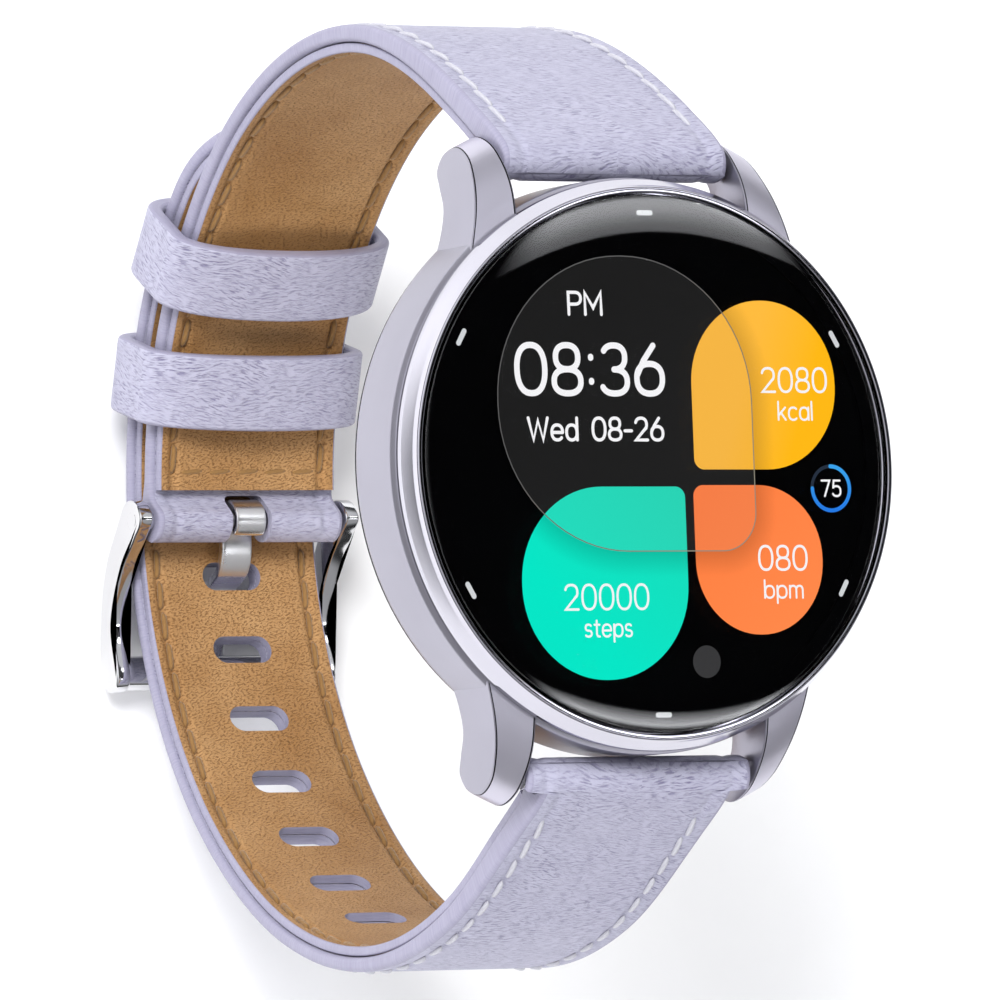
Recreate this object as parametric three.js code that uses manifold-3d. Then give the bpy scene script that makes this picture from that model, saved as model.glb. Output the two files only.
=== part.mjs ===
// A round smartwatch on a two-piece leather strap, shown buckled into a loop.
//
// Millimetres. +Z is the direction the dial faces, +Y points to 12 o'clock and +X to 3 o'clock.
// The origin is the centre of the flat sensor window on the back of the case, where it meets the wrist.
// Everything on the strap is placed by an angle round the loop's own centre line, which runs along X:
// 0 degrees is straight behind the case, positive angles climb towards the 12 o'clock lugs.

import * as THREE from 'three';
import { mergeVertices } from 'three/addons/utils/BufferGeometryUtils.js';
import Module from 'manifold-3d';

const wasm = await Module();
wasm.setup();

// ---------------------------------------------------------------- driving dimensions

const GLASS_PLANE_Z = 11.5;       // height of the bezel's inner lip above the sensor window
const CASE_RADIUS = 23.2;         // case band
const CASE_INNER_RADIUS = 21.2;
const CASE_BOTTOM_Z = 2.9;
const CASE_TOP_Z = 9.1;
const BEZEL_RADIUS = 23.0;
const BEZEL_BOTTOM_Z = 9.35;      // leaves the dark groove above the case band
const BEZEL_LEDGE_Z = 10.15;      // the gasket and glass rest on this ledge
const BEZEL_LEDGE_RADIUS = 20.4;
const GLASS_RADIUS = 21.6;
const GLASS_BOTTOM_Z = 10.45;
const GLASS_CROWN = 0.7;          // how far the glass centre stands above its edge
const DISPLAY_RADIUS = 20.1;

const LUG_INNER_X = 10.8;         // half the gap between a pair of lugs
const LUG_ROOT_OUTER_X = 15.6;    // outer side of a lug where it leaves the case, at LUG_ROOT_Y
const LUG_TIP_OUTER_X = 12.9;     // and at its tip, at LUG_TIP_Y
const LUG_ROOT_Y = 15.5;
const LUG_TIP_Y = 26.5;
const BAR_Y = 24.9;               // spring bar axes
const BAR_Z = 5.3;
const STRAP_ROLL_RADIUS = 1.75;   // the strap's rolled end round its spring bar
const STRAP_ROLL_BORE_RADIUS = 1.2;

const SCREW_CIRCLE_RADIUS = 18.2;
const SCREW_ANGLES = [45, 135, 225, 315];
const BUTTON_Z = 5.6;
const BUTTON_RADIUS = 2.3;
const BUTTON_OUTER_X = 24.2;      // the cap stands only 1 mm proud of the case band

const LOOP_Y = 1.0;               // centre line of the strap loop
const LOOP_Z = -19.7;
const STRAP_LUG_HALF_WIDTH = 10.45;
const STRAP_BACK_HALF_WIDTH = 8.9;
const LINING_THICKNESS = 0.8;
const LAYER_GAP = 0.1;            // glue line between leather and lining
const SPLIT_GAP_ANGLE = 0.4;      // half the gap where a strap half is split at its flex line
const SHORT_FLEX_ANGLE = 66;      // where the short half flexes
const LONG_FLEX_ANGLE = -76;      // where the long half flexes
const SHORT_LINING_END_ANGLE = 2.7;
const TAIL_TIP_ANGLE = 54;

const BUCKLE_BAR_ANGLE = -1.3;
const BUCKLE_BAR_LOOP_RADIUS = 36.5;
const BUCKLE_BAR_RADIUS = 0.8;
const BUCKLE_ROLL_RADIUS = 1.85;
const BUCKLE_ROLL_BORE_RADIUS = 1.1;
const BUCKLE_INNER_X = 9.3;
const BUCKLE_OUTER_X = 10.7;
const TANG_HALF_WIDTH = 1.45;
const TANG_THICKNESS = 0.8;

const SLOT_COUNT = 7;
const FIRST_SLOT_ANGLE = -8.0;
const SLOT_PITCH_ANGLE = 9.5;
const SLOT_LENGTH = 5.6;          // across the strap
const SLOT_WIDTH = 2.4;           // along the strap

const KEEPER_LENGTH = 6.4;        // along the strap
const FIXED_KEEPER_ANGLE = 16.9;
const FREE_KEEPER_ANGLE = 33.8;

const SEGMENTS = 48;              // facets round the case

// ---------------------------------------------------------------- materials

const leather = { color: 0xb9b4cc, roughness: 0.62, metalness: 0.0 };
const lining = { color: 0xb07c46, roughness: 0.7, metalness: 0.0 };
const caseMetal = { color: 0xb4afc2, roughness: 0.34, metalness: 0.9 };
const polishedSteel = { color: 0xd8dade, roughness: 0.08, metalness: 1.0 };
const brushedSteel = { color: 0xb8babd, roughness: 0.35, metalness: 1.0 };
const blackGlass = { color: 0x050506, roughness: 0.05, metalness: 0.0 };
const displayStack = { color: 0x0c0d10, roughness: 0.3, metalness: 0.0 };
const blackPlastic = { color: 0x17181b, roughness: 0.5, metalness: 0.0 };
const darkRubber = { color: 0x0d0d0e, roughness: 0.85, metalness: 0.0 };
const circuitBoard = { color: 0x0f3d2a, roughness: 0.5, metalness: 0.0 };
const batteryFoil = { color: 0x8f9499, roughness: 0.45, metalness: 0.6 };
const gold = { color: 0xd9b25c, roughness: 0.25, metalness: 1.0 };
const amberFilm = { color: 0xa9681f, roughness: 0.4, metalness: 0.0 };

const group = new THREE.Group();

// ---------------------------------------------------------------- solid helpers

/** A closed three.js geometry as a manifold-3d solid that faces outwards. */
function toSolid(geometry) {
  const bare = new THREE.BufferGeometry();
  bare.setAttribute('position', geometry.getAttribute('position').clone());
  bare.setIndex(geometry.getIndex());
  const merged = mergeVertices(bare, 1e-5);
  const vertProperties = new Float32Array(merged.getAttribute('position').array);
  const triVerts = new Uint32Array(merged.getIndex().array);
  if (signedVolume(vertProperties, triVerts) < 0) {
    for (let i = 0; i < triVerts.length; i += 3) {
      [triVerts[i + 1], triVerts[i + 2]] = [triVerts[i + 2], triVerts[i + 1]];
    }
  }
  return new wasm.Manifold(new wasm.Mesh({ numProp: 3, vertProperties, triVerts }));
}

function signedVolume(positions, indices) {
  const [a, b, c] = [new THREE.Vector3(), new THREE.Vector3(), new THREE.Vector3()];
  let volume = 0;
  for (let i = 0; i < indices.length; i += 3) {
    a.fromArray(positions, 3 * indices[i]);
    b.fromArray(positions, 3 * indices[i + 1]);
    c.fromArray(positions, 3 * indices[i + 2]);
    volume += a.dot(b.cross(c)) / 6;
  }
  return volume;
}

/** Adds one named piece to the watch. */
function addPiece(name, solid, finish) {
  const mesh = solid.getMesh();
  const geometry = new THREE.BufferGeometry();
  geometry.setAttribute('position', new THREE.BufferAttribute(new Float32Array(mesh.vertProperties), 3));
  geometry.setIndex(new THREE.BufferAttribute(new Uint32Array(mesh.triVerts), 1));
  geometry.computeVertexNormals();
  const piece = new THREE.Mesh(geometry, new THREE.MeshStandardMaterial(finish));
  piece.name = name;
  group.add(piece);
}

/** A solid of revolution about Z from [radius, z] points. */
function turned(profile, segments = SEGMENTS) {
  const points = profile.map(([radius, z]) => new THREE.Vector2(radius, z));
  const first = points[0];
  const last = points[points.length - 1];
  const closesOnAxis = first.x === 0 && last.x === 0;
  if (!closesOnAxis) points.push(first.clone());
  const geometry = new THREE.LatheGeometry(points, segments);
  geometry.rotateX(Math.PI / 2);
  return toSolid(geometry);
}

/** A solid of revolution about the line along X through (y, z), from [radius, x] points. */
function turnedAboutX(profile, y, z, segments = 20) {
  const points = profile.map(([radius, x]) => new THREE.Vector2(radius, x));
  if (points[0].x !== 0) points.push(points[0].clone());
  const geometry = new THREE.LatheGeometry(points, segments);
  geometry.rotateZ(-Math.PI / 2);
  geometry.translate(0, y, z);
  return toSolid(geometry);
}

function cylinderAlongX(radius, x0, x1, y, z, segments = 20) {
  return turnedAboutX([[0, x0], [radius, x0], [radius, x1], [0, x1]], y, z, segments);
}

function cylinderAlongZ(radius, x, y, z0, z1, segments = 16) {
  const geometry = new THREE.CylinderGeometry(radius, radius, z1 - z0, segments);
  geometry.rotateX(Math.PI / 2);
  geometry.translate(x, y, (z0 + z1) / 2);
  return toSolid(geometry);
}

function block(x0, x1, y0, y1, z0, z1) {
  const geometry = new THREE.BoxGeometry(x1 - x0, y1 - y0, z1 - z0);
  geometry.translate((x0 + x1) / 2, (y0 + y1) / 2, (z0 + z1) / 2);
  return toSolid(geometry);
}

/** A shape drawn in the (y, z) plane, extruded from x0 to x1. */
function extrudedAlongX(shape, x0, x1, curveSegments = 6) {
  const geometry = new THREE.ExtrudeGeometry(shape, { depth: x1 - x0, bevelEnabled: false, curveSegments });
  geometry.applyMatrix4(new THREE.Matrix4().set(0, 0, 1, x0, 1, 0, 0, 0, 0, 1, 0, 0, 0, 0, 0, 1));
  return toSolid(geometry);
}

function shapeThrough(points) {
  return new THREE.Shape(points.map(([u, v]) => new THREE.Vector2(u, v)));
}

/** A closed smooth outline through [u, v] points. */
function smoothShape(points, divisions) {
  const knots = points.map(([u, v]) => new THREE.Vector3(u, v, 0));
  const curve = new THREE.CatmullRomCurve3(knots, true, 'centripetal');
  return shapeThrough(curve.getPoints(divisions).slice(0, -1).map((p) => [p.x, p.y]));
}

/** The (y, z) place of a point on the strap loop. */
function onLoop(angle, radius) {
  const a = THREE.MathUtils.degToRad(angle);
  return [LOOP_Y + radius * Math.sin(a), LOOP_Z - radius * Math.cos(a)];
}

const BUCKLE_BAR = onLoop(BUCKLE_BAR_ANGLE, BUCKLE_BAR_LOOP_RADIUS);

/** Smooth value along the strap, through [angle, value] pairs in rising order of angle. */
function along(pairs) {
  const angles = new Float32Array(pairs.map((pair) => pair[0]));
  const values = new Float32Array(pairs.map((pair) => pair[1]));
  const curve = new THREE.CubicInterpolant(angles, values, 1);
  return (angle) => curve.evaluate(THREE.MathUtils.clamp(angle, angles[0], angles.at(-1)))[0];
}

const BAR_LOOP_RADIUS_UPPER = Math.hypot(BAR_Y - LOOP_Y, BAR_Z - LOOP_Z);
const BAR_LOOP_RADIUS_LOWER = Math.hypot(BAR_Y + LOOP_Y, BAR_Z - LOOP_Z);
const UPPER_BAR_ANGLE = THREE.MathUtils.radToDeg(Math.atan2(BAR_Y - LOOP_Y, LOOP_Z - BAR_Z));
const LOWER_BAR_ANGLE = THREE.MathUtils.radToDeg(Math.atan2(-BAR_Y - LOOP_Y, LOOP_Z - BAR_Z));

// Radius of the middle of each strap half, its thickness and its half width, by angle round the loop.
const shortHalf = {
  radius: along([[-2, 36.5], [20, 36.5], [40, 36.5], [60, 36.7], [90, 36.2], [120, 34.4],
    [UPPER_BAR_ANGLE, BAR_LOOP_RADIUS_UPPER]]),
  thickness: along([[-2, 2.2], [60, 2.2], [90, 2.3], [120, 2.9], [140, 3.0]]),
  halfWidth: along([[-2, STRAP_BACK_HALF_WIDTH], [40, 8.9], [90, 9.7], [125, 10.4],
    [140, STRAP_LUG_HALF_WIDTH]]),
};
const longHalf = {
  radius: along([[LOWER_BAR_ANGLE, BAR_LOOP_RADIUS_LOWER], [-120, 35.9], [-105, 37.4], [-86, 39.2],
    [-66, 40], [-45, 40], [0, 40], [25, 40], [40, 39.7], [54, 39.2]]),
  thickness: along([[-140, 3.0], [-120, 2.9], [-90, 2.2], [-60, 2.0], [TAIL_TIP_ANGLE, 2.0]]),
  halfWidth: along([[-140, STRAP_LUG_HALF_WIDTH], [-125, 10.4], [-90, 9.7], [-40, 8.9],
    [TAIL_TIP_ANGLE, STRAP_BACK_HALF_WIDTH]]),
};

/**
 * One leather layer of a strap half between two angles. layer is 'leather' (outer) or 'lining' (inner).
 * The section has its four corners cut off, as a painted edge does.
 */
function strapLayer(half, layer, fromAngle, toAngle, steps, tip = null) {
  const sections = [];
  for (let i = 0; i <= steps; i += 1) {
    const angle = THREE.MathUtils.lerp(fromAngle, toAngle, i / steps);
    const radius = half.radius(angle);
    const depth = half.thickness(angle) / 2;
    const split = radius - depth + LINING_THICKNESS;
    const isLining = layer === 'lining';
    const inner = isLining ? radius - depth : split + LAYER_GAP;
    const outer = isLining ? split : radius + depth;
    const inset = isLining ? 0.35 : 0;
    let width = half.halfWidth(angle) - inset;
    if (tip) width = Math.min(width, tip(angle) - inset);
    const corner = isLining ? 0.15 : 0.35;
    sections.push([
      [width - corner, inner], [width, inner + corner], [width, outer - corner], [width - corner, outer],
      [corner - width, outer], [-width, outer - corner], [-width, inner + corner], [corner - width, inner],
    ].map(([x, r]) => [x, ...onLoop(angle, r)]));
  }
  return toSolid(lofted(sections));
}

/** A closed skin over rings of equally many points. */
function lofted(sections) {
  const count = sections[0].length;
  const indices = [];
  for (let s = 0; s + 1 < sections.length; s += 1) {
    for (let i = 0; i < count; i += 1) {
      const a = s * count + i;
      const b = s * count + ((i + 1) % count);
      indices.push(a, b, b + count, a, b + count, a + count);
    }
  }
  const lastRing = (sections.length - 1) * count;
  for (let i = 1; i + 1 < count; i += 1) {
    indices.push(0, i + 1, i, lastRing, lastRing + i, lastRing + i + 1);
  }
  const geometry = new THREE.BufferGeometry();
  geometry.setAttribute('position', new THREE.Float32BufferAttribute(sections.flat(2), 3));
  geometry.setIndex(indices);
  return geometry;
}

// ---------------------------------------------------------------- case

/** The rim that the four lugs are milled from, as [radius, z]: it hooks down towards the wrist. */
function lugRimProfile() {
  const knots = [
    [23.0, 9.05], [24.4, 8.75], [25.6, 8.2], [26.8, 7.3], [28.2, 5.7], [29.0, 3.4], [28.6, 1.6],
    [27.7, 1.2], [26.6, 2.1], [25.2, 3.4], [23.6, 3.6], [22.2, 3.0],
  ].map(([radius, z]) => new THREE.Vector3(radius, z, 0));
  const rim = new THREE.CatmullRomCurve3(knots, false, 'centripetal').getPoints(20);
  return [[21.5, CASE_TOP_Z - 0.05], ...rim.map((p) => [p.x, p.y]), [21.5, CASE_BOTTOM_Z + 0.1]];
}

/** Plan view of one lug in the quarter x > 0, y > 0, as a wedge that narrows to its tip. */
function lugWedge() {
  const plan = shapeThrough([
    [LUG_INNER_X, LUG_ROOT_Y], [LUG_ROOT_OUTER_X, LUG_ROOT_Y],
    [LUG_TIP_OUTER_X, LUG_TIP_Y], [LUG_TIP_OUTER_X, LUG_TIP_Y + 5], [LUG_INNER_X, LUG_TIP_Y + 5],
  ]);
  return toSolid(new THREE.ExtrudeGeometry(plan, { depth: 20, bevelEnabled: false }));
}

function midCase() {
  let solid = turned([
    [CASE_INNER_RADIUS, CASE_BOTTOM_Z], [CASE_RADIUS - 0.5, CASE_BOTTOM_Z],
    [CASE_RADIUS, CASE_BOTTOM_Z + 0.6], [CASE_RADIUS, CASE_TOP_Z - 0.4],
    [CASE_RADIUS - 0.4, CASE_TOP_Z], [CASE_INNER_RADIUS, CASE_TOP_Z],
  ]);
  const roomForBezel = cylinderAlongZ(CASE_RADIUS + 0.1, 0, 0, CASE_TOP_Z, CASE_TOP_Z + 5, SEGMENTS);
  const roomInside = cylinderAlongZ(CASE_INNER_RADIUS, 0, 0, 0, CASE_TOP_Z + 5, SEGMENTS);
  const rim = turned(lugRimProfile(), 2 * SEGMENTS);
  for (const mirrorX of [false, true]) {
    for (const mirrorY of [false, true]) {
      let wedge = lugWedge();
      if (mirrorX) wedge = wedge.mirror([1, 0, 0]);
      if (mirrorY) wedge = wedge.mirror([0, 1, 0]);
      solid = solid.add(rim.intersect(wedge).subtract(roomForBezel));
    }
  }
  solid = solid.subtract(roomInside);
  for (const barY of [BAR_Y, -BAR_Y]) {
    const strapRoom = cylinderAlongX(STRAP_ROLL_RADIUS + 0.35, -LUG_INNER_X, LUG_INNER_X, barY, BAR_Z, 24);
    const tipHoles = cylinderAlongX(0.7, -LUG_INNER_X - 1.3, LUG_INNER_X + 1.3, barY, BAR_Z, 12);
    solid = solid.subtract(strapRoom).subtract(tipHoles);
  }
  const buttonBore = cylinderAlongX(1.5, 18, 26, 0, BUTTON_Z, 24);
  const buttonRecess = cylinderAlongX(BUTTON_RADIUS + 0.25, 22.4, 26, 0, BUTTON_Z, 24);
  addPiece('mid_case', solid.subtract(buttonBore).subtract(buttonRecess), caseMetal);
}

function bezelAndGlass() {
  addPiece('bezel_ring', turned([
    [BEZEL_LEDGE_RADIUS, BEZEL_BOTTOM_Z], [BEZEL_RADIUS - 0.2, BEZEL_BOTTOM_Z],
    [BEZEL_RADIUS, BEZEL_BOTTOM_Z + 0.25], [BEZEL_RADIUS - 0.15, BEZEL_BOTTOM_Z + 1.0],
    [BEZEL_RADIUS - 0.65, GLASS_PLANE_Z - 0.15], [BEZEL_RADIUS - 0.95, GLASS_PLANE_Z],
    [GLASS_RADIUS + 0.2, GLASS_PLANE_Z - 0.1], [GLASS_RADIUS + 0.2, BEZEL_LEDGE_Z],
    [BEZEL_LEDGE_RADIUS, BEZEL_LEDGE_Z],
  ]), caseMetal);
  addPiece('glass_gasket', turned([
    [20.7, BEZEL_LEDGE_Z + 0.05], [21.5, BEZEL_LEDGE_Z + 0.05],
    [21.5, GLASS_BOTTOM_Z - 0.05], [20.7, GLASS_BOTTOM_Z - 0.05],
  ], 40), darkRubber);
  const dome = [0, 0.25, 0.5, 0.72, 0.88, 0.96].map((t) => [
    (GLASS_RADIUS - 0.1) * t, GLASS_PLANE_Z + GLASS_CROWN * (1 - t ** 4),
  ]).reverse();
  addPiece('cover_glass', turned([
    [0, GLASS_BOTTOM_Z], [GLASS_RADIUS - 0.2, GLASS_BOTTOM_Z], [GLASS_RADIUS, GLASS_BOTTOM_Z + 0.2],
    [GLASS_RADIUS, GLASS_PLANE_Z - 0.35], ...dome,
  ]), blackGlass);
  const panel = turned([[0, 9.0], [DISPLAY_RADIUS, 9.0], [DISPLAY_RADIUS, 10.1], [0, 10.1]]);
  addPiece('display_panel', panel, displayStack);
}

function screwPlaces() {
  return SCREW_ANGLES.map((degrees) => {
    const a = THREE.MathUtils.degToRad(degrees);
    return [SCREW_CIRCLE_RADIUS * Math.cos(a), SCREW_CIRCLE_RADIUS * Math.sin(a)];
  });
}

function backOfCase() {
  let cover = turned([
    [6.2, 0], [11, 0], [13.5, 1.0], [20.2, 1.0], [22.2, 1.7], [22.9, 2.65],
    [20.4, 2.65], [20.4, 4.0], [19.8, 4.0], [19.8, 2.2], [6.2, 2.2],
  ]);
  for (const [x, y] of screwPlaces()) {
    cover = cover.subtract(cylinderAlongZ(1.4, x, y, 0, 1.7, 12));
    cover = cover.subtract(cylinderAlongZ(0.8, x, y, 0, 3, 8));
  }
  for (const x of [-3, 3]) cover = cover.subtract(cylinderAlongZ(1.15, x, -8.6, -1, 3, 12));
  addPiece('back_cover', cover, blackPlastic);

  addPiece('sensor_window', turned([[0, 0], [6.0, 0], [6.0, 1.4], [0, 1.4]], 40), blackGlass);
  addPiece('sensor_board', turned([[0, 1.6], [5.6, 1.6], [5.6, 2.2], [0, 2.2]], 32), circuitBoard);
  for (const [side, x] of [['left', -3], ['right', 3]]) {
    addPiece(`charging_pin_${side}`, cylinderAlongZ(1.0, x, -8.6, 0, 2.5, 12), gold);
  }
  const gasketProfile = [];
  for (let i = 0; i < 6; i += 1) {
    const a = (i * Math.PI) / 3;
    gasketProfile.push([20.8 + 0.3 * Math.cos(a), 3.5 + 0.3 * Math.sin(a)]);
  }
  addPiece('back_gasket', turned(gasketProfile, 40), darkRubber);
  screwPlaces().forEach(([x, y], i) => {
    const head = cylinderAlongZ(1.2, x, y, 1.05, 1.6, 12);
    const shank = cylinderAlongZ(0.6, x, y, 1.5, 6.0, 8);
    const recess = block(x - 0.8, x + 0.8, y - 0.15, y + 0.15, 0.9, 1.3);
    addPiece(`back_screw_${i + 1}`, head.add(shank).subtract(recess), brushedSteel);
  });
}

function insides() {
  let frame = turned([[0, 8.0], [19.9, 8.0], [19.9, 7.5], [20.8, 7.5], [20.8, 8.7], [0, 8.7]], 36);
  let board = turned([[0, 6.2], [19.0, 6.2], [19.0, 7.0], [0, 7.0]], 36);
  for (const [x, y] of screwPlaces()) {
    frame = frame.add(cylinderAlongZ(1.5, x, y, 3.0, 8.1, 12));
    frame = frame.subtract(cylinderAlongZ(0.75, x, y, 2, 6.3, 8));
    board = board.subtract(cylinderAlongZ(1.8, x, y, 5, 8, 12));
  }
  const flexSlot = block(-5, 5, -18.2, -16.2, 7.5, 9.2);
  addPiece('inner_frame', frame.subtract(flexSlot), blackPlastic);
  addPiece('main_board', board, circuitBoard);
  addPiece('shield_can', block(-5, 5, 14.6, 18.0, 4.8, 6.1), brushedSteel);
  const flexPath = shapeThrough([
    [-14.5, 7.1], [-17.4, 7.1], [-17.4, 8.75], [-15, 8.75], [-15, 8.9], [-17.6, 8.9], [-17.6, 7.05],
    [-14.5, 7.05],
  ]);
  addPiece('display_flex', extrudedAlongX(flexPath, -4.5, 4.5), amberFilm);
  addPiece('battery', block(-9.5, 9.5, -13.5, 13.5, 2.9, 5.9), batteryFoil);
  addPiece('vibration_motor', cylinderAlongZ(4, -14.2, 0, 3.3, 5.9, 28), brushedSteel);
}

function sideButton() {
  addPiece('button_cap', turnedAboutX([
    [0, 19.8], [0.9, 19.8], [0.9, 22.8], [BUTTON_RADIUS, 22.8], [BUTTON_RADIUS, BUTTON_OUTER_X - 0.4],
    [BUTTON_RADIUS - 0.4, BUTTON_OUTER_X], [0, BUTTON_OUTER_X],
  ], 0, BUTTON_Z, 24), caseMetal);
  const sealProfile = [[0.98, 21.8], [1.42, 21.8], [1.42, 22.3], [0.98, 22.3]];
  addPiece('button_seal', turnedAboutX(sealProfile, 0, BUTTON_Z, 20), darkRubber);
  const clipProfile = [[0.98, 20.6], [1.5, 20.6], [1.5, 20.9], [0.98, 20.9]];
  addPiece('button_clip', turnedAboutX(clipProfile, 0, BUTTON_Z, 20), brushedSteel);
  addPiece('button_switch', block(17.3, 19.4, -2, 2, 4.7, 6.15), blackPlastic);
}

/** A quick-release spring bar: a hollow tube, and a sprung tip with a collar at each end. */
function springBar(name, y) {
  const tube = turnedAboutX([[0.6, -8.8], [0.9, -8.8], [0.9, 8.8], [0.6, 8.8]], y, BAR_Z, 12);
  addPiece(`${name}_tube`, tube, brushedSteel);
  for (const [side, sign] of [['left', -1], ['right', 1]]) {
    const tip = turnedAboutX([
      [0, 7.1 * sign], [0.45, 7.1 * sign], [0.45, 9.9 * sign], [0.8, 9.9 * sign], [0.8, 10.25 * sign],
      [0.45, 10.25 * sign], [0.45, 11.7 * sign], [0, 11.7 * sign],
    ], y, BAR_Z, 12);
    addPiece(`${name}_tip_${side}`, tip, brushedSteel);
  }
}

// ---------------------------------------------------------------- strap

/** Adds the rolled end of a strap layer round a bar, and bores it for that bar. */
function rolledRound(layer, halfWidth, [y, z], rollRadius, boreRadius) {
  const roll = cylinderAlongX(rollRadius, -halfWidth, halfWidth, y, z, 20);
  const bore = cylinderAlongX(boreRadius, -halfWidth - 1, halfWidth + 1, y, z, 16);
  return layer.add(roll).subtract(bore);
}

function shortStrap() {
  const front = strapLayer(shortHalf, 'leather', SHORT_FLEX_ANGLE + SPLIT_GAP_ANGLE, UPPER_BAR_ANGLE, 16);
  const upperBar = [BAR_Y, BAR_Z];
  addPiece('short_strap_leather_front',
    rolledRound(front, STRAP_LUG_HALF_WIDTH, upperBar, STRAP_ROLL_RADIUS, STRAP_ROLL_BORE_RADIUS), leather);
  addPiece('short_strap_lining_front',
    strapLayer(shortHalf, 'lining', SHORT_FLEX_ANGLE + SPLIT_GAP_ANGLE, UPPER_BAR_ANGLE - 4.5, 14), lining);

  const rearEnd = SHORT_FLEX_ANGLE - SPLIT_GAP_ANGLE;
  const rear = rolledRound(strapLayer(shortHalf, 'leather', BUCKLE_BAR_ANGLE, rearEnd, 16),
    STRAP_BACK_HALF_WIDTH, BUCKLE_BAR, BUCKLE_ROLL_RADIUS, BUCKLE_ROLL_BORE_RADIUS);
  const [y, z] = BUCKLE_BAR;
  const notchHalfWidth = TANG_HALF_WIDTH + 0.4;
  const notch = block(-notchHalfWidth, notchHalfWidth, y - 3, y + 2.2, z - 3, z + 3);
  addPiece('short_strap_leather_rear', rear.subtract(notch), leather);
  addPiece('short_strap_lining_rear',
    strapLayer(shortHalf, 'lining', SHORT_LINING_END_ANGLE, rearEnd, 15), lining);
}

/** A round-ended slot cutter that passes through the long strap half at an angle. */
function slotCutter(angle) {
  const half = SLOT_WIDTH / 2;
  const reach = SLOT_LENGTH / 2 - half;
  const outline = new THREE.Shape();
  outline.absarc(reach, 0, half, -Math.PI / 2, Math.PI / 2, false);
  outline.absarc(-reach, 0, half, Math.PI / 2, 1.5 * Math.PI, false);
  const geometry = new THREE.ExtrudeGeometry(outline, { depth: 8, bevelEnabled: false, curveSegments: 4 });
  geometry.translate(0, 0, -4);
  geometry.rotateX(THREE.MathUtils.degToRad(angle));
  const [y, z] = onLoop(angle, longHalf.radius(angle));
  geometry.translate(0, y, z);
  return toSolid(geometry);
}

/** Half width of the rounded tail, closing to a blunt tip. */
function tailHalfWidth(angle) {
  const tipLength = 14;
  const t = THREE.MathUtils.clamp((angle - (TAIL_TIP_ANGLE - tipLength)) / tipLength, 0, 1);
  return STRAP_BACK_HALF_WIDTH * Math.sqrt(1 - 0.86 * t ** 3);
}

function longStrap() {
  const front = strapLayer(longHalf, 'leather', LOWER_BAR_ANGLE, LONG_FLEX_ANGLE - SPLIT_GAP_ANGLE, 14);
  const lowerBar = [-BAR_Y, BAR_Z];
  addPiece('long_strap_leather_front',
    rolledRound(front, STRAP_LUG_HALF_WIDTH, lowerBar, STRAP_ROLL_RADIUS, STRAP_ROLL_BORE_RADIUS), leather);
  addPiece('long_strap_lining_front',
    strapLayer(longHalf, 'lining', LOWER_BAR_ANGLE + 4.5, LONG_FLEX_ANGLE - SPLIT_GAP_ANGLE, 12), lining);

  const rearStart = LONG_FLEX_ANGLE + SPLIT_GAP_ANGLE;
  let rearLeather = strapLayer(longHalf, 'leather', rearStart, TAIL_TIP_ANGLE, 26, tailHalfWidth);
  let rearLining = strapLayer(longHalf, 'lining', rearStart, TAIL_TIP_ANGLE - 0.5, 26, tailHalfWidth);
  for (let i = 0; i < SLOT_COUNT; i += 1) {
    const cutter = slotCutter(FIRST_SLOT_ANGLE - i * SLOT_PITCH_ANGLE);
    rearLeather = rearLeather.subtract(cutter);
    rearLining = rearLining.subtract(cutter);
  }
  addPiece('long_strap_leather_rear', rearLeather, leather);
  addPiece('long_strap_lining_rear', rearLining, lining);
}

/**
 * A leather keeper loop round both strap halves, drawn as [x, radius from the loop centre]: flat-backed
 * outside, and bowed towards the wrist inside.
 */
function keeper(name, angle) {
  const outline = (grow) => {
    const half = 9.2 + grow;
    const shape = new THREE.Shape();
    shape.moveTo(-half, 36);
    shape.bezierCurveTo(-half, 34.6 - grow * 0.6, -6, 33.5 - grow, 0, 33.5 - grow);
    shape.bezierCurveTo(6, 33.5 - grow, half, 34.6 - grow * 0.6, half, 36);
    shape.lineTo(half, 39.8);
    shape.bezierCurveTo(half, 41.0 + grow * 0.8, 8.2 + grow * 0.5, 41.4 + grow, 6, 41.5 + grow);
    shape.lineTo(-6, 41.5 + grow);
    shape.bezierCurveTo(-8.2 - grow * 0.5, 41.4 + grow, -half, 41.0 + grow * 0.8, -half, 39.8);
    return shape;
  };
  const extrude = (shape, depth) => {
    const geometry = new THREE.ExtrudeGeometry(shape, { depth, bevelEnabled: false, curveSegments: 7 });
    geometry.translate(0, 0, -depth / 2);
    return geometry;
  };
  const place = (geometry) => {
    // shape x stays X, shape y runs outwards from the loop centre, extrusion runs along the strap
    const a = THREE.MathUtils.degToRad(angle);
    const [outY, outZ] = [Math.sin(a), -Math.cos(a)];
    geometry.applyMatrix4(new THREE.Matrix4().set(
      1, 0, 0, 0,
      0, outY, -outZ, LOOP_Y,
      0, outZ, outY, LOOP_Z,
      0, 0, 0, 1,
    ));
    return toSolid(geometry);
  };
  const body = place(extrude(outline(1.3), KEEPER_LENGTH));
  addPiece(name, body.subtract(place(extrude(outline(0), KEEPER_LENGTH + 2))), leather);
}

// ---------------------------------------------------------------- buckle

/** Side view of a buckle cheek as [y, z], from its eye round the bar to the crossbar end. */
function cheekShape() {
  return smoothShape([
    onLoop(1.2, 36.2), onLoop(1.2, 37.6), onLoop(-1.6, 39.2), onLoop(-6, 41.6), onLoop(-11, 43.3),
    onLoop(-17.5, 44.9), onLoop(-19.8, 44.4), onLoop(-19.8, 42.6), onLoop(-13, 41.6), onLoop(-7, 38.8),
    onLoop(-3.6, 36.3), onLoop(-1.2, 35.0),
  ], 40);
}

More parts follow.
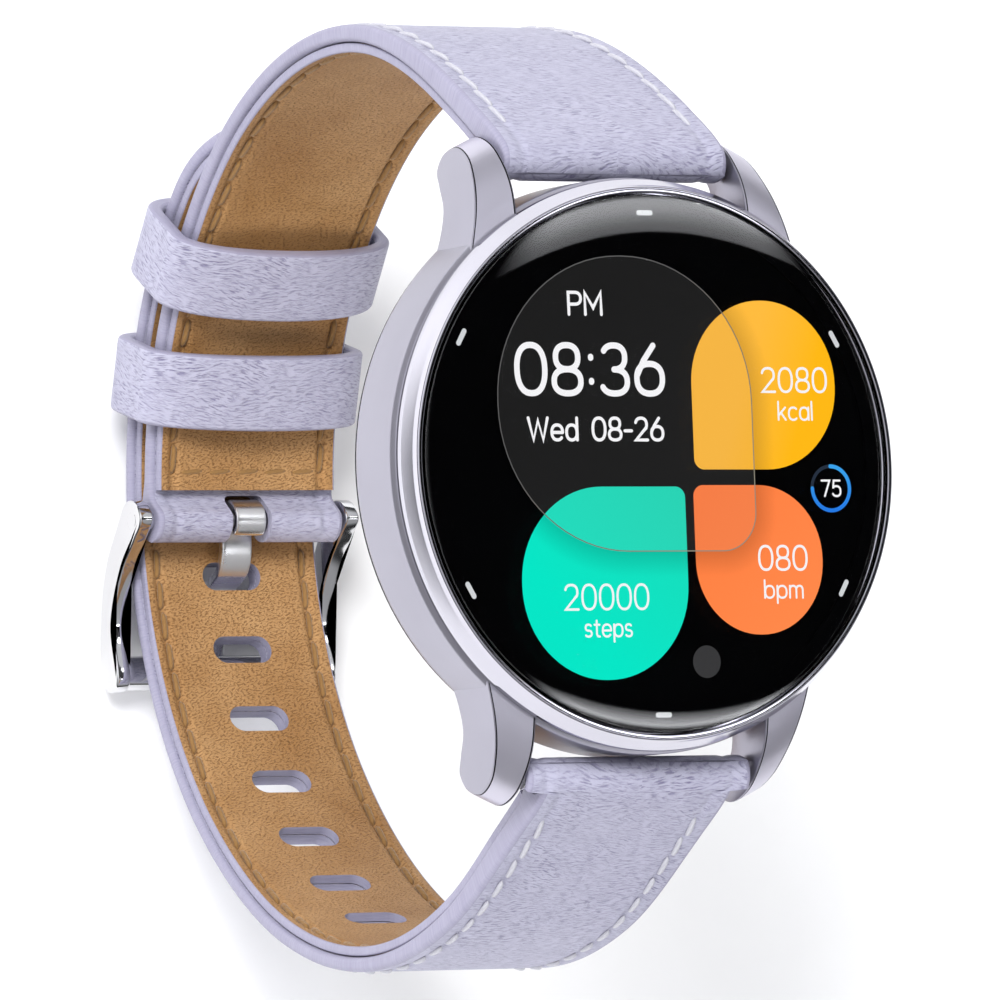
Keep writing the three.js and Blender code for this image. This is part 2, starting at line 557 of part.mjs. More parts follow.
function buckle() {
  let frame = extrudedAlongX(cheekShape(), -BUCKLE_OUTER_X, -BUCKLE_INNER_X);
  frame = frame.add(extrudedAlongX(cheekShape(), BUCKLE_INNER_X, BUCKLE_OUTER_X));
  const crossbar = smoothShape([
    onLoop(-16.6, 44.3), onLoop(-19.6, 44.3), onLoop(-19.6, 42.6), onLoop(-16.6, 42.3),
  ], 12);
  frame = frame.add(extrudedAlongX(crossbar, -BUCKLE_OUTER_X + 0.5, BUCKLE_OUTER_X - 0.5));
  const barBore = cylinderAlongX(BUCKLE_BAR_RADIUS + 0.1, -12, 12, ...BUCKLE_BAR, 16);
  addPiece('buckle_frame', frame.subtract(barBore), polishedSteel);
  addPiece('buckle_bar', cylinderAlongX(BUCKLE_BAR_RADIUS, -10.5, 10.5, ...BUCKLE_BAR, 16), brushedSteel);

  // The tang: a strip curled round the bar, through the first slot, resting on the crossbar.
  const middle = new THREE.CatmullRomCurve3([
    onLoop(-2.4, 38.0), onLoop(-5.2, 38.0), onLoop(-7.4, 38.9), onLoop(-8.2, 40.2),
    onLoop(-9.0, 41.5), onLoop(-11.5, 43.1), onLoop(-15.5, 45.0), onLoop(-20.2, 45.1),
  ].map(([y, z]) => new THREE.Vector3(0, y, z)));
  const stations = middle.getPoints(16);
  const tangents = stations.map((_, i) => middle.getTangent(i / 16));
  const edge = (sign) => stations.map((p, i) => {
    const half = (sign * TANG_THICKNESS) / 2;
    return [p.y - tangents[i].z * half, p.z + tangents[i].y * half];
  });
  const sideView = shapeThrough([...edge(1), ...edge(-1).reverse()]);
  const strip = extrudedAlongX(sideView, -TANG_HALF_WIDTH, TANG_HALF_WIDTH);
  const curl = cylinderAlongX(BUCKLE_BAR_RADIUS + 0.15 + TANG_THICKNESS, -TANG_HALF_WIDTH, TANG_HALF_WIDTH,
    ...BUCKLE_BAR, 20);
  const eye = cylinderAlongX(BUCKLE_BAR_RADIUS + 0.12, -3, 3, ...BUCKLE_BAR, 16);
  addPiece('buckle_tang', strip.add(curl).subtract(eye), polishedSteel);
}

midCase();
bezelAndGlass();
backOfCase();
insides();
sideButton();
springBar('upper_spring_bar', BAR_Y);
springBar('lower_spring_bar', -BAR_Y);
shortStrap();
longStrap();
keeper('fixed_keeper', FIXED_KEEPER_ANGLE);
keeper('free_keeper', FREE_KEEPER_ANGLE);
buckle();

export default group;
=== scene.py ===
"""Looks for a round smartwatch on a buckled two-piece leather strap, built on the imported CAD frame.

Sizes are millimetres in the CAD's own frame, and MM turns them into Blender's metres when a mesh is made.
+Z is the way the dial faces, +Y is 12 o'clock and +X is 3 o'clock. A place on the strap is an angle round
the strap loop's centre line, 0 straight behind the case and rising towards the 12 o'clock lugs.
"""

import math

import bmesh
import bpy
import numpy as np
from mathutils import Matrix, Vector


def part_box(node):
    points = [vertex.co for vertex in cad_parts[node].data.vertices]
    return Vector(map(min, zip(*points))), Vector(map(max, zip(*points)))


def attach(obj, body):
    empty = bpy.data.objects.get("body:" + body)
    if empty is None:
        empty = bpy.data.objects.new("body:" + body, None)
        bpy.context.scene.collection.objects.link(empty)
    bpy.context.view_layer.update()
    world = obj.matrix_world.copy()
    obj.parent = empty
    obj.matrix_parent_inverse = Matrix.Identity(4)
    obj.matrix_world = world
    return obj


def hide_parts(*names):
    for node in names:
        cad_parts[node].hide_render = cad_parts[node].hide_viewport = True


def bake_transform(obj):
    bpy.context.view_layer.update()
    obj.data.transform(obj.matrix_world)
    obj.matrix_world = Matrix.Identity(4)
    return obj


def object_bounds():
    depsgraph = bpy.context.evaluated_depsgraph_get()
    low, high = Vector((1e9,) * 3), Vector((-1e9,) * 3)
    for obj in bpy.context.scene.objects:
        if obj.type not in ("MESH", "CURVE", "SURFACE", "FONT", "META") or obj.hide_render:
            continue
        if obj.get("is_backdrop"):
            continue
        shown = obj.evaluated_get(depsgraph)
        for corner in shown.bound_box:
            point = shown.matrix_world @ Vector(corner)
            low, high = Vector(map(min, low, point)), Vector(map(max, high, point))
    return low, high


MM = 0.001
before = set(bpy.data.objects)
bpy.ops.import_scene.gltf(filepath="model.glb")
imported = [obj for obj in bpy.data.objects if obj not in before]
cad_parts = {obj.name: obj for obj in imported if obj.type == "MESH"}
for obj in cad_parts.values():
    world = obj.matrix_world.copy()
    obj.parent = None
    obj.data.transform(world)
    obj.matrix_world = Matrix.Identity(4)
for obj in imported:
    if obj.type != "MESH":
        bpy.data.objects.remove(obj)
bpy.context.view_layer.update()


def node_box(name):
    low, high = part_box(name)
    return low / MM, high / MM


def node_middle(name):
    low, high = node_box(name)
    return [(a + b) / 2 for a, b in zip(low, high)]


# ------------------------------------------------------------------ driving sizes, read from the frame

GLASS_LOW, GLASS_HIGH = (v.z for v in node_box("cover_glass"))
GLASS_RADIUS = node_box("cover_glass")[1].x
BEZEL_LOW, BEZEL_HIGH = (v.z for v in node_box("bezel_ring"))
BEZEL_RADIUS = node_box("bezel_ring")[1].x
DISPLAY_TOP = node_box("display_panel")[1].z
CASE_RADIUS = BEZEL_RADIUS + 0.2
CASE_TOP = BEZEL_LOW - 0.25
BACK_TOP = node_box("back_cover")[1].z
BUTTON_Z = node_middle("button_cap")[2]
BUTTON_RADIUS = (node_box("button_cap")[1].z - node_box("button_cap")[0].z) / 2
BAR_Y, BAR_Z = node_middle("upper_spring_bar_tube")[1:]
BUCKLE_BAR = tuple(node_middle("buckle_bar")[1:])

CASE_BOTTOM = 2.9                 # underside of the case band
LOOP_Y, LOOP_Z = 1.0, -19.7       # centre line of the strap loop
LUG_INNER_X = 10.8
LUG_ROOT = (15.6, 15.5)           # (x, y) of a lug's outer side where it leaves the case
LUG_TIP = (12.9, 26.5)            # and at its tip
LINING_THICKNESS = 0.8
LAYER_GAP = 0.1
STITCH_INSET = 1.75               # from a strap's edge to its stitch rows
LUG_END_HALF_WIDTH, BUCKLE_END_HALF_WIDTH = 10.45, 8.9
LUG_ROLL_RADIUS, LUG_BORE_RADIUS = 1.75, 1.2            # the strap's rolled end round a spring bar
BUCKLE_ROLL_RADIUS, BUCKLE_BORE_RADIUS = 1.85, 1.1      # and round the buckle bar
BENDS = {"short": (("strap_upper", "strap_back"), 66), "long": (("strap_back", "strap_lower"), -76)}
FLEX_SPREAD = 7                   # degrees either side of a flex line, where bend() works out points that it leaves unused
TAIL_TIP_ANGLE, TAIL_ROUNDING = 54, 14
SLOT_COUNT, FIRST_SLOT_ANGLE, SLOT_PITCH = 7, -8.0, 9.5
SLOT_LENGTH, SLOT_WIDTH = 5.6, 2.4
KEEPER_LENGTH = 6.4
KEEPERS = {"fixed_keeper": (16.9, "strap_back"), "free_keeper": (33.8, "keeper")}


def on_loop(angle, radius):
    """(y, z) of a point on the strap loop."""
    a = math.radians(angle)
    return LOOP_Y + radius * math.sin(a), LOOP_Z - radius * math.cos(a)


def loop_place(y, z):
    """(angle, radius) of a point, the reverse of on_loop."""
    return math.degrees(math.atan2(y - LOOP_Y, LOOP_Z - z)), math.hypot(y - LOOP_Y, z - LOOP_Z)


UPPER_BAR = loop_place(BAR_Y, BAR_Z)
LOWER_BAR = loop_place(-BAR_Y, BAR_Z)


def smooth(pairs):
    """Smooth value through (place, value) pairs: a cubic with the slope of its neighbours at each pair."""
    places = [p for p, _ in pairs]
    values = [v for _, v in pairs]

    def value(at):
        at = min(max(at, places[0]), places[-1])
        i = 1
        while i < len(places) - 1 and at >= places[i]:
            i += 1
        t0, t1, v0, v1 = places[i - 1], places[i], values[i - 1], values[i]
        half = (t1 - t0) / 2
        before = (places[i - 2], values[i - 2]) if i >= 2 else (t1, v1)
        after = (places[i + 1], values[i + 1]) if i + 1 < len(places) else (t0, v0)
        slope0 = half / (t0 - before[0])
        slope1 = half / (after[0] - t1)
        q = (at - t0) / (t1 - t0)
        return (
            (-slope0 * q**3 + 2 * slope0 * q**2 - slope0 * q) * before[1]
            + ((1 + slope0) * q**3 + (-1.5 - 2 * slope0) * q**2 + (-0.5 + slope0) * q + 1) * v0
            + ((-1 - slope1) * q**3 + (1.5 + slope1) * q**2 + 0.5 * q) * v1
            + (slope1 * q**3 - slope1 * q**2) * after[1]
        )

    return value


# Radius of the middle of each strap half, its thickness and its half width, by angle round the loop.
SHORT = {
    "radius": smooth([(-2, 36.5), (20, 36.5), (40, 36.5), (60, 36.7), (90, 36.2), (120, 34.4), UPPER_BAR]),
    "thickness": smooth([(-2, 2.2), (60, 2.2), (90, 2.3), (120, 2.9), (140, 3.0)]),
    "half_width": smooth([(-2, 8.9), (40, 8.9), (90, 9.7), (125, 10.4), (140, 10.45)]),
}
LONG = {
    "radius": smooth([LOWER_BAR, (-120, 35.9), (-105, 37.4), (-86, 39.2), (-66, 40), (-45, 40), (0, 40),
                      (25, 40), (40, 39.7), (54, 39.2)]),
    "thickness": smooth([(-140, 3.0), (-120, 2.9), (-90, 2.2), (-60, 2.0), (54, 2.0)]),
    "half_width": smooth([(-140, 10.45), (-125, 10.4), (-90, 9.7), (-40, 8.9), (54, 8.9)]),
}

# ------------------------------------------------------------------ materials


class Shader:
    """A node material, with short calls that add nodes and join them."""

    def __init__(self, name, **principled):
        self.material = bpy.data.materials.new(name)
        self.material.use_nodes = True
        self.tree = self.material.node_tree
        self.bsdf = self.tree.nodes["Principled BSDF"]
        self.set(**principled)

    def set(self, **principled):
        for name, value in principled.items():
            socket = self.bsdf.inputs[name.replace("_", " ").replace("0", "")]
            self.plug(socket, value)

    def plug(self, socket, value):
        if isinstance(value, bpy.types.NodeSocket):
            self.tree.links.new(value, socket)
        elif socket.type == "RGBA":
            socket.default_value = (*value, 1)[:4]
        else:
            socket.default_value = value

    def add(self, kind, inputs, out=0, **settings):
        node = self.tree.nodes.new("ShaderNode" + kind)
        for name, value in settings.items():
            setattr(node, name, value)
        for key, value in inputs.items():
            self.plug(node.inputs[key], value)
        return node.outputs[out]

    def place(self, kind="Object", scale=(1, 1, 1), turn=0.0):
        coordinates = self.tree.nodes.new("ShaderNodeTexCoord").outputs[kind]
        return self.add("Mapping", {"Vector": coordinates, "Scale": scale, "Rotation": (0, 0, turn)})

    def noise(self, vector, scale, detail=2.0, roughness=0.5, out=0):
        return self.add("TexNoise", {"Vector": vector, "Scale": scale, "Detail": detail,
                                     "Roughness": roughness}, out)

    def math(self, operation, *values):
        return self.add("Math", dict(enumerate(values)), operation=operation)

    def ramp(self, value, stops):
        node = self.tree.nodes.new("ShaderNodeValToRGB")
        self.tree.links.new(value, node.inputs[0])
        elements = node.color_ramp.elements
        while len(elements) < len(stops):
            elements.new(0.5)
        for element, (position, colour) in zip(elements, stops):
            element.position = position
            element.color = (*colour, 1)
        return node.outputs[0]

    def span(self, value, low, high, to_low=0.0, to_high=1.0):
        return self.add("MapRange", {0: value, 1: low, 2: high, 3: to_low, 4: to_high})

    def mix(self, factor, a, b):
        node = self.tree.nodes.new("ShaderNodeMix")
        node.data_type = "RGBA"
        self.plug(node.inputs[0], factor)
        self.plug(node.inputs[6], a)
        self.plug(node.inputs[7], b)
        return node.outputs[2]

    def bump(self, height, strength, distance):
        return self.add("Bump", {"Height": height, "Strength": strength, "Distance": distance})


def leather_grain(s, stretch, turn, wander, low, high):
    """Crease height, 0 in a crease and 1 on the skin, for leather whose UVs are metres on its face."""
    flat = s.place("UV", turn=turn)
    drift = s.add("VectorMath", {0: s.noise(flat, 400, out=1), 1: (0.5, 0.5, 0.5)}, operation="SUBTRACT")
    drift = s.add("VectorMath", {0: drift, "Scale": wander * 2}, operation="SCALE")
    moved = s.add("VectorMath", {0: flat, 1: drift}, operation="ADD")
    stretched = s.add("Mapping", {"Vector": moved, "Scale": stretch})
    return s.span(s.noise(stretched, 1, 3.0, 0.55), low, high)


def lavender_leather():
    s = Shader("lavender_leather")
    flat = s.place("UV")
    across = leather_grain(s, (1150, 6800, 1), 0.1, 0.0003, 0.36, 0.5)
    slanted = leather_grain(s, (1250, 7200, 1), -0.25, 0.0003, 0.36, 0.5)
    where = s.span(s.noise(flat, 170, 2), 0.4, 0.6)
    creases = s.mix(where, across, slanted)
    pores = s.noise(flat, 8000, 3, 0.6)
    mottle = s.noise(flat, 500, 5, 0.7)
    # Painted shade: the colour darkens in the crease valleys, by an amount that changes at random from patch to
    # patch.
    crease_shade_strength = s.span(s.noise(flat, 120, 3), 0.35, 0.65, 0.85, 0.35)
    base = s.ramp(mottle, [(0.3, (0.385, 0.378, 0.485)), (0.7, (0.45, 0.445, 0.56))])
    dark = s.math("MULTIPLY", s.span(creases, 0, 1, 1, 0), crease_shade_strength)
    height = s.math("ADD", s.math("MULTIPLY", creases, 0.7), s.math("MULTIPLY", pores, 0.3))
    s.set(Base_Color=s.mix(dark, base, (0.13, 0.115, 0.22)),
          Roughness=s.span(pores, 0.3, 0.7, 0.42, 0.6), Normal=s.bump(height, 0.7, 0.0001))
    return s.material


def leather_edge():
    """The painted edge: smoother than the face, with fine strokes across its thickness."""
    s = Shader("painted_edge", Roughness=0.5)
    flat = s.place("UV", scale=(700, 6500, 1))
    strokes = s.noise(flat, 1, 3, 0.6)
    tone = s.noise(s.place("UV"), 400, 3)
    base = s.mix(tone, (0.27, 0.26, 0.35), (0.34, 0.33, 0.43))
    s.set(Base_Color=s.mix(s.span(strokes, 0.32, 0.6, 0.25, 0), base, (0.14, 0.12, 0.22)),
          Normal=s.bump(strokes, 0.45, 0.00006))
    return s.material


def tan_lining():
    s = Shader("tan_lining")
    flat = s.place("UV")
    grain = leather_grain(s, (3600, 7200, 1), 0.3, 0.0002, 0.37, 0.48)
    pores = s.noise(flat, 9000, 3, 0.6)
    stain = s.noise(flat, 110, 5, 0.6)
    base = s.ramp(stain, [(0.3, (0.33, 0.165, 0.055)), (0.7, (0.47, 0.27, 0.115))])
    # Painted shade: the colour darkens in the grain's creases.
    colour = s.mix(s.span(grain, 0, 1, 0.55, 0), base, (0.12, 0.045, 0.01))
    height = s.math("ADD", s.math("MULTIPLY", grain, 0.7), s.math("MULTIPLY", pores, 0.3))
    s.set(Base_Color=colour, Roughness=s.span(pores, 0.3, 0.7, 0.42, 0.65),
          Normal=s.bump(height, 0.8, 0.0001))
    return s.material


def thread(name, colour, shade):
    """Twisted thread: slanted ply lines along each stitch."""
    s = Shader(name, Roughness=0.7, Sheen_Weight=0.3)
    flat = s.place("UV", turn=0.7)
    ply = s.add("TexWave", {"Vector": flat, "Scale": 900, "Distortion": 0.5}, 1)
    fibres = s.noise(s.place("UV", scale=(9000, 1500, 1)), 1, 2)
    s.set(Base_Color=s.mix(s.span(fibres, 0.3, 0.6, 0.45, 0), colour, shade),
          Normal=s.bump(s.math("ADD", ply, fibres), 0.35, 0.00004))
    return s.material


def satin_metal(name, colour, roughness, grain=0.000001, metallic=0.9):
    """Fine-blasted coated metal: tiny bright and dull specks and a slow change of tone."""
    s = Shader(name, Metallic=metallic)
    here = s.place()
    specks = s.noise(here, 9000, 2)
    tone = s.noise(here, 90, 3)
    s.set(Base_Color=s.mix(s.span(tone, 0.35, 0.65), [c * 0.94 for c in colour], colour),
          Roughness=s.span(specks, 0.3, 0.7, roughness * 0.95, roughness * 1.05),
          Normal=s.bump(specks, 0.02, grain))
    return s.material


def polished_metal(name, colour, roughness=0.06):
    """Mirror steel with the faint hairlines and smudges that handling leaves."""
    s = Shader(name, Metallic=1.0, Base_Color=colour)
    here = s.place(scale=(1, 1, 6))
    smudge = s.noise(here, 160, 4)
    hair = s.noise(s.place(scale=(40, 40, 1400)), 1, 2)
    s.set(Roughness=s.span(smudge, 0.35, 0.75, roughness, roughness * 2.2),
          Normal=s.bump(hair, 0.05, 0.000004))
    return s.material


def brushed_metal(name, colour, roughness=0.3):
    """Steel with fine lines along X."""
    s = Shader(name, Metallic=1.0, Base_Color=colour)
    lines = s.noise(s.place(scale=(160, 5200, 5200)), 1, 3)
    s.set(Roughness=s.span(lines, 0.3, 0.7, roughness * 0.8, roughness * 1.3),
          Normal=s.bump(lines, 0.3, 0.00001))
    return s.material


def moulded(name, colour, roughness):
    """Moulded plastic or rubber: fine spark texture and a slightly uneven tone."""
    s = Shader(name)
    here = s.place()
    spark = s.noise(here, 4200, 3, 0.6)
    tone = s.noise(here, 120, 3)
    s.set(Base_Color=s.mix(tone, [c * 0.8 for c in colour], [min(1, c * 1.25) for c in colour]),
          Roughness=s.span(spark, 0.3, 0.7, roughness * 0.85, min(1, roughness * 1.15)),
          Normal=s.bump(spark, 0.35, 0.00002))
    return s.material


def circuit_board():
    """Green solder mask with copper tracks showing through as slightly raised lines."""
    s = Shader("circuit_board", Roughness=0.4)
    here = s.place(turn=math.radians(45))
    tracks = s.add("TexBrick", {"Vector": here, "Scale": 420, "Mortar Size": 0.03}, 1)
    s.set(Base_Color=s.mix(tracks, (0.012, 0.07, 0.035), (0.03, 0.14, 0.07)),
          Normal=s.bump(tracks, 0.4, 0.00003))
    return s.material


def foil():
    """Crinkled battery foil."""
    s = Shader("battery_foil", Metallic=0.8, Base_Color=(0.5, 0.52, 0.55))
    crinkle = s.noise(s.place(), 700, 4, 0.6)
    s.set(Roughness=s.span(crinkle, 0.3, 0.7, 0.3, 0.5), Normal=s.bump(crinkle, 0.35, 0.00012))
    return s.material


def film():
    """Amber polyimide with copper tracks along it."""
    s = Shader("amber_film", Roughness=0.35)
    tracks = s.add("TexWave", {"Vector": s.place(), "Scale": 260}, 1, bands_direction="X")
    s.set(Base_Color=s.mix(s.span(tracks, 0.4, 0.6), (0.36, 0.13, 0.02), (0.55, 0.26, 0.05)))
    return s.material


def cover_glass():
    """Clear glass with faint smears."""
    s = Shader("cover_glass", Base_Color=(1, 1, 1), IOR=1.5, Transmission_Weight=1.0)
    smears = s.noise(s.place(), 90, 3)
    s.set(Roughness=s.span(smears, 0.5, 0.8, 0.0, 0.02))
    return s.material


def sensor_glass():
    """Nearly black glass over the optical sensor."""
    s = Shader("sensor_glass", IOR=1.5, Coat_Weight=1.0, Coat_Roughness=0.02)
    tint = s.noise(s.place(), 200, 2)
    s.set(Base_Color=s.mix(tint, (0.006, 0.006, 0.008), (0.012, 0.012, 0.015)), Roughness=0.08)
    return s.material


def screen_black():
    """The unlit screen: it adds no gloss of its own under the cover glass."""
    s = Shader("screen_black", Roughness=0.5, Specular_IOR_Level=0.0)
    cells = s.noise(s.place(), 9000, 1)
    s.set(Base_Color=s.mix(cells, (0.0015, 0.0015, 0.002), (0.003, 0.003, 0.004)))
    return s.material


BLACK = (0, 0, 0)
PANE = ((-2.43, 4.8), 11.86, (1, -1), 3.2)   # centre, half size, tighter corner and its radius, in mm
PETAL_ROUNDNESS = 0.985                      # corner radius of a petal as a share of its half size
SHADOW_REACH, SHADOW_DEPTH = 2.0, 0.3


def lit(name, stops, strength=1.12, direction=(0, 0, 1), offset=0.0, span=1.0, shaded=False):
    """A lit patch of the screen: its colour runs through stops along a direction, in mm from offset."""
    s = Shader(name, Base_Color=BLACK, Roughness=0.5, Specular_IOR_Level=0.0, Emission_Strength=strength)
    along = s.add("VectorMath", {0: s.place(), 1: direction}, 1, operation="DOT_PRODUCT")
    place = s.span(along, offset * MM, (offset + span) * MM)
    cells = s.noise(s.place(), 12000, 1)
    colour = s.mix(s.span(cells, 0, 1, 0, 0.04), s.ramp(place, stops), BLACK)
    if shaded:
        colour = s.mix(pane_shadow(s), colour, BLACK)
    s.set(Emission_Color=colour)
    return s.material


def pane_shadow(s):
    """How much the raised pane's soft shadow darkens what lies just outside its edge."""
    (cx, cy), half, _, small = PANE
    split = s.add("SeparateXYZ", {0: s.place(scale=(1 / MM, 1 / MM, 1))}).node

    def past_corner(distance, flat):
        return s.math("MAXIMUM", s.math("SUBTRACT", s.math("ABSOLUTE", distance), flat), 0)

    x, y = (s.math("SUBTRACT", split.outputs[k], middle) for k, middle in enumerate((cx, cy)))
    low_right = s.math("MULTIPLY", s.math("GREATER_THAN", x, 0), s.math("LESS_THAN", y, 0))
    radius = s.span(low_right, 0, 1, half * PETAL_ROUNDNESS, small)
    flat = s.math("SUBTRACT", half, radius)
    px, py = past_corner(x, flat), past_corner(y, flat)
    reach = s.math("SQRT", s.math("ADD", s.math("MULTIPLY", px, px), s.math("MULTIPLY", py, py)))
    outside = s.math("SUBTRACT", reach, radius)
    fade = s.span(outside, 0, SHADOW_REACH, SHADOW_DEPTH, 0)
    return s.math("MULTIPLY", fade, s.math("GREATER_THAN", outside, 0))


def tinted_pane(name, tint, clear):
    """A translucent dark pane drawn over what lies under it."""
    s = Shader(name, Base_Color=BLACK, Roughness=0.5, Specular_IOR_Level=0.0, Emission_Strength=1.0)
    along = s.add("VectorMath", {0: s.place(), 1: (0.7, -0.7, 0)}, 1, operation="DOT_PRODUCT")
    fade = s.span(along, -0.012, 0.012, tint * 0.9, tint * 1.1)
    s.set(Emission_Color=s.add("CombineColor", {0: fade, 1: fade, 2: fade}))
    through = s.add("BsdfTransparent", {"Color": (1, 1, 1)})
    mixed = s.add("MixShader", {0: clear, 1: s.bsdf.outputs[0], 2: through})
    s.tree.links.new(mixed, s.tree.nodes["Material Output"].inputs["Surface"])
    return s.material


mat = {
    "leather": lavender_leather(),
    "edge": leather_edge(),
    "lining": tan_lining(),
    "white_thread": thread("white_thread", (0.52, 0.52, 0.56), (0.3, 0.28, 0.36)),
    "tan_thread": thread("tan_thread", (0.27, 0.145, 0.045), (0.16, 0.075, 0.02)),
    "case": satin_metal("case_satin", (0.37, 0.36, 0.42), 0.34),
    # A lighter copy of the case metal for the lug faces between the grooves: painted light.
    "lug_front": satin_metal("lug_front_painted_light", (0.62, 0.60, 0.69), 0.42),
    # Near-black metal in the hairline groove along each lug's edges: painted shade.
    "groove_shade": satin_metal("lug_groove_painted_shade", (0.03, 0.028, 0.035), 0.4, 0.000002),
    "bezel": satin_metal("bezel_polished", (0.55, 0.54, 0.6), 0.12, metallic=1.0),
    "mirror": polished_metal("mirror_steel", (0.7, 0.7, 0.71)),
    # Rougher than the buckle steel, and brighter: the brighter colour is painted light, so the tang reads white.
    "tang": polished_metal("tang_steel_painted_light", (0.92, 0.92, 0.92), 0.2),
    "brushed": brushed_metal("brushed_steel", (0.78, 0.78, 0.79)),
    "plastic": moulded("black_plastic", (0.012, 0.012, 0.014), 0.45),
    "rubber": moulded("dark_rubber", (0.008, 0.008, 0.009), 0.8),
    "gold": polished_metal("gold_contact", (0.95, 0.68, 0.3), 0.15),
    "board": circuit_board(),
    "foil": foil(),
    "film": film(),
    "glass": cover_glass(),
    "sensor_glass": sensor_glass(),
    "screen": screen_black(),
}

# ------------------------------------------------------------------ mesh tools


def mend(mesh, operation, **settings):
    """Runs one bmesh operation over a mesh."""
    bm = bmesh.new()
    bm.from_mesh(mesh)
    elements = {name: getattr(bm, name) for name in ("faces", "verts") if name in settings}
    operation(bm, **{**settings, **elements})
    bm.to_mesh(mesh)
    bm.free()


def add_object(name, mesh, materials, body, replaces=(), sharp=None):
    """Shades a finished mesh and adds it, riding on a body unless body is None."""
    mend(mesh, bmesh.ops.recalc_face_normals, faces=True)
    mesh.shade_smooth()
    if sharp:
        mesh.set_sharp_from_angle(angle=math.radians(sharp))
    for material in materials:
        mesh.materials.append(mat[material])
    piece = bpy.data.objects.new(name, mesh)
    bpy.context.scene.collection.objects.link(piece)
    if body:
        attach(piece, body)
    if replaces:
        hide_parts(*replaces)
    return piece


def skin_mesh(name, rings, joined=False, u=None, v=None, slot_of=None):
    """A mesh over rings of points in mm. joined closes the last ring to the first; otherwise the ends are
    capped. u and v are lengths round and along, for the UVs; slot_of gives each strip round its material."""
    rings = np.asarray(rings, float)
    count, size = rings.shape[:2]
    slot_of = [0] * size if slot_of is None else slot_of

    def lengths(axis):
        steps = np.linalg.norm(np.roll(rings, -1, axis) - rings, axis=2).mean(1 - axis)
        return np.concatenate([[0], np.cumsum(steps)])

    u = lengths(1) if u is None else u
    v = lengths(0) if v is None else v
    faces, loops, slots = [], [], []
    for s in range(count if joined else count - 1):
        t = (s + 1) % count
        for c in range(size):
            d = (c + 1) % size
            faces.append((s * size + c, s * size + d, t * size + d, t * size + c))
            loops += [(u[c], v[s]), (u[c + 1], v[s]), (u[c + 1], v[s + 1]), (u[c], v[s + 1])]
            slots.append(slot_of[c])
    points = rings.reshape(-1, 3).tolist()
    if not joined:
        for s, at in ((0, v[0]), (count - 1, v[count - 1])):
            points.append(rings[s].mean(0).tolist())
            for c in range(size):
                d = (c + 1) % size
                faces.append((len(points) - 1, s * size + c, s * size + d))
                loops += [(u[c], at), (u[c], at), (u[c + 1], at)]
                slots.append(slot_of[c])
    mesh = bpy.data.meshes.new(name)
    mesh.from_pydata([[x * MM for x in p] for p in points], [], faces)
    layer = mesh.uv_layers.new(name="UVMap")
    layer.data.foreach_set("uv", (np.array(loops) * MM).ravel())
    mesh.polygons.foreach_set("material_index", slots)
    return mesh


def fillet(points, radii, steps=5):
    """A closed outline with its corners rounded; a radius of 0 keeps a corner."""
    out = []
    count = len(points)
    for i, (corner, radius) in enumerate(zip(points, radii)):
        p = np.array(corner, float)
        a = np.array(points[i - 1], float) - p
        b = np.array(points[(i + 1) % count], float) - p
        la, lb = np.linalg.norm(a), np.linalg.norm(b)
        a, b = a / la, b / lb
        half = math.acos(max(-1, min(1, float(a @ b)))) / 2
        if radius <= 0 or half > 1.55:
            out.append(p.tolist())
            continue
        reach = min(radius / math.tan(half), 0.49 * la, 0.49 * lb)
        start, end = p + a * reach, p + b * reach
        for k in range(steps + 1):
            t = k / steps
            out.append(((1 - t) ** 2 * start + 2 * t * (1 - t) * p + t**2 * end).tolist())
    return out


def turned(name, profile, materials, body, replaces=(), segments=160, axis="z", centre=(0, 0, 0),
           sharp=40):
    """A turned piece from a closed profile of [radius, height], about Z or about a line along X."""
    profile = np.array(profile, float)
    rings = []
    for a in np.arange(segments) * 2 * math.pi / segments:
        r, h = profile[:, 0], profile[:, 1]
        c, s = r * math.cos(a), r * math.sin(a)
        ring = (c, s, h) if axis == "z" else (h, c, s)
        rings.append(np.stack(ring, 1) + np.array(centre))
    mesh = skin_mesh(name, rings, joined=True)
    mend(mesh, bmesh.ops.remove_doubles, verts=True, dist=1e-7)
    return add_object(name, mesh, materials, body, replaces, sharp)


def cut(piece, cutters, solver="EXACT"):
    """Cuts solids out of a piece, then removes them."""
    for cutter in cutters:
        step = piece.modifiers.new("cut", "BOOLEAN")
        step.operation, step.solver, step.object = "DIFFERENCE", solver, cutter
    graph = bpy.context.evaluated_depsgraph_get()
    mesh = bpy.data.meshes.new_from_object(piece.evaluated_get(graph))
    piece.modifiers.clear()
    piece.data = mesh
    for cutter in cutters:
        bpy.data.objects.remove(cutter)
    mesh.set_sharp_from_angle(angle=math.radians(40))


def rod_mesh(name, radius, start, end, segments=32):
    """A plain closed rod between two points, used to cut bores."""
    start, end = np.array(start, float), np.array(end, float)
    axis = (end - start) / np.linalg.norm(end - start)
    side = np.cross(axis, (0, 0, 1) if abs(axis[2]) < 0.9 else (1, 0, 0))
    side /= np.linalg.norm(side)
    other = np.cross(axis, side)
    turns = np.arange(segments) * 2 * math.pi / segments
    ring = radius * (np.outer(np.cos(turns), side) + np.outer(np.sin(turns), other))
    return skin_mesh(name, [ring + start, ring + end])


def cutter(mesh):
    """A solid for cut() to take away."""
    piece = bpy.data.objects.new("cutter", mesh)
    mend(mesh, bmesh.ops.recalc_face_normals, faces=True)
    bpy.context.scene.collection.objects.link(piece)
    return piece


# ------------------------------------------------------------------ case


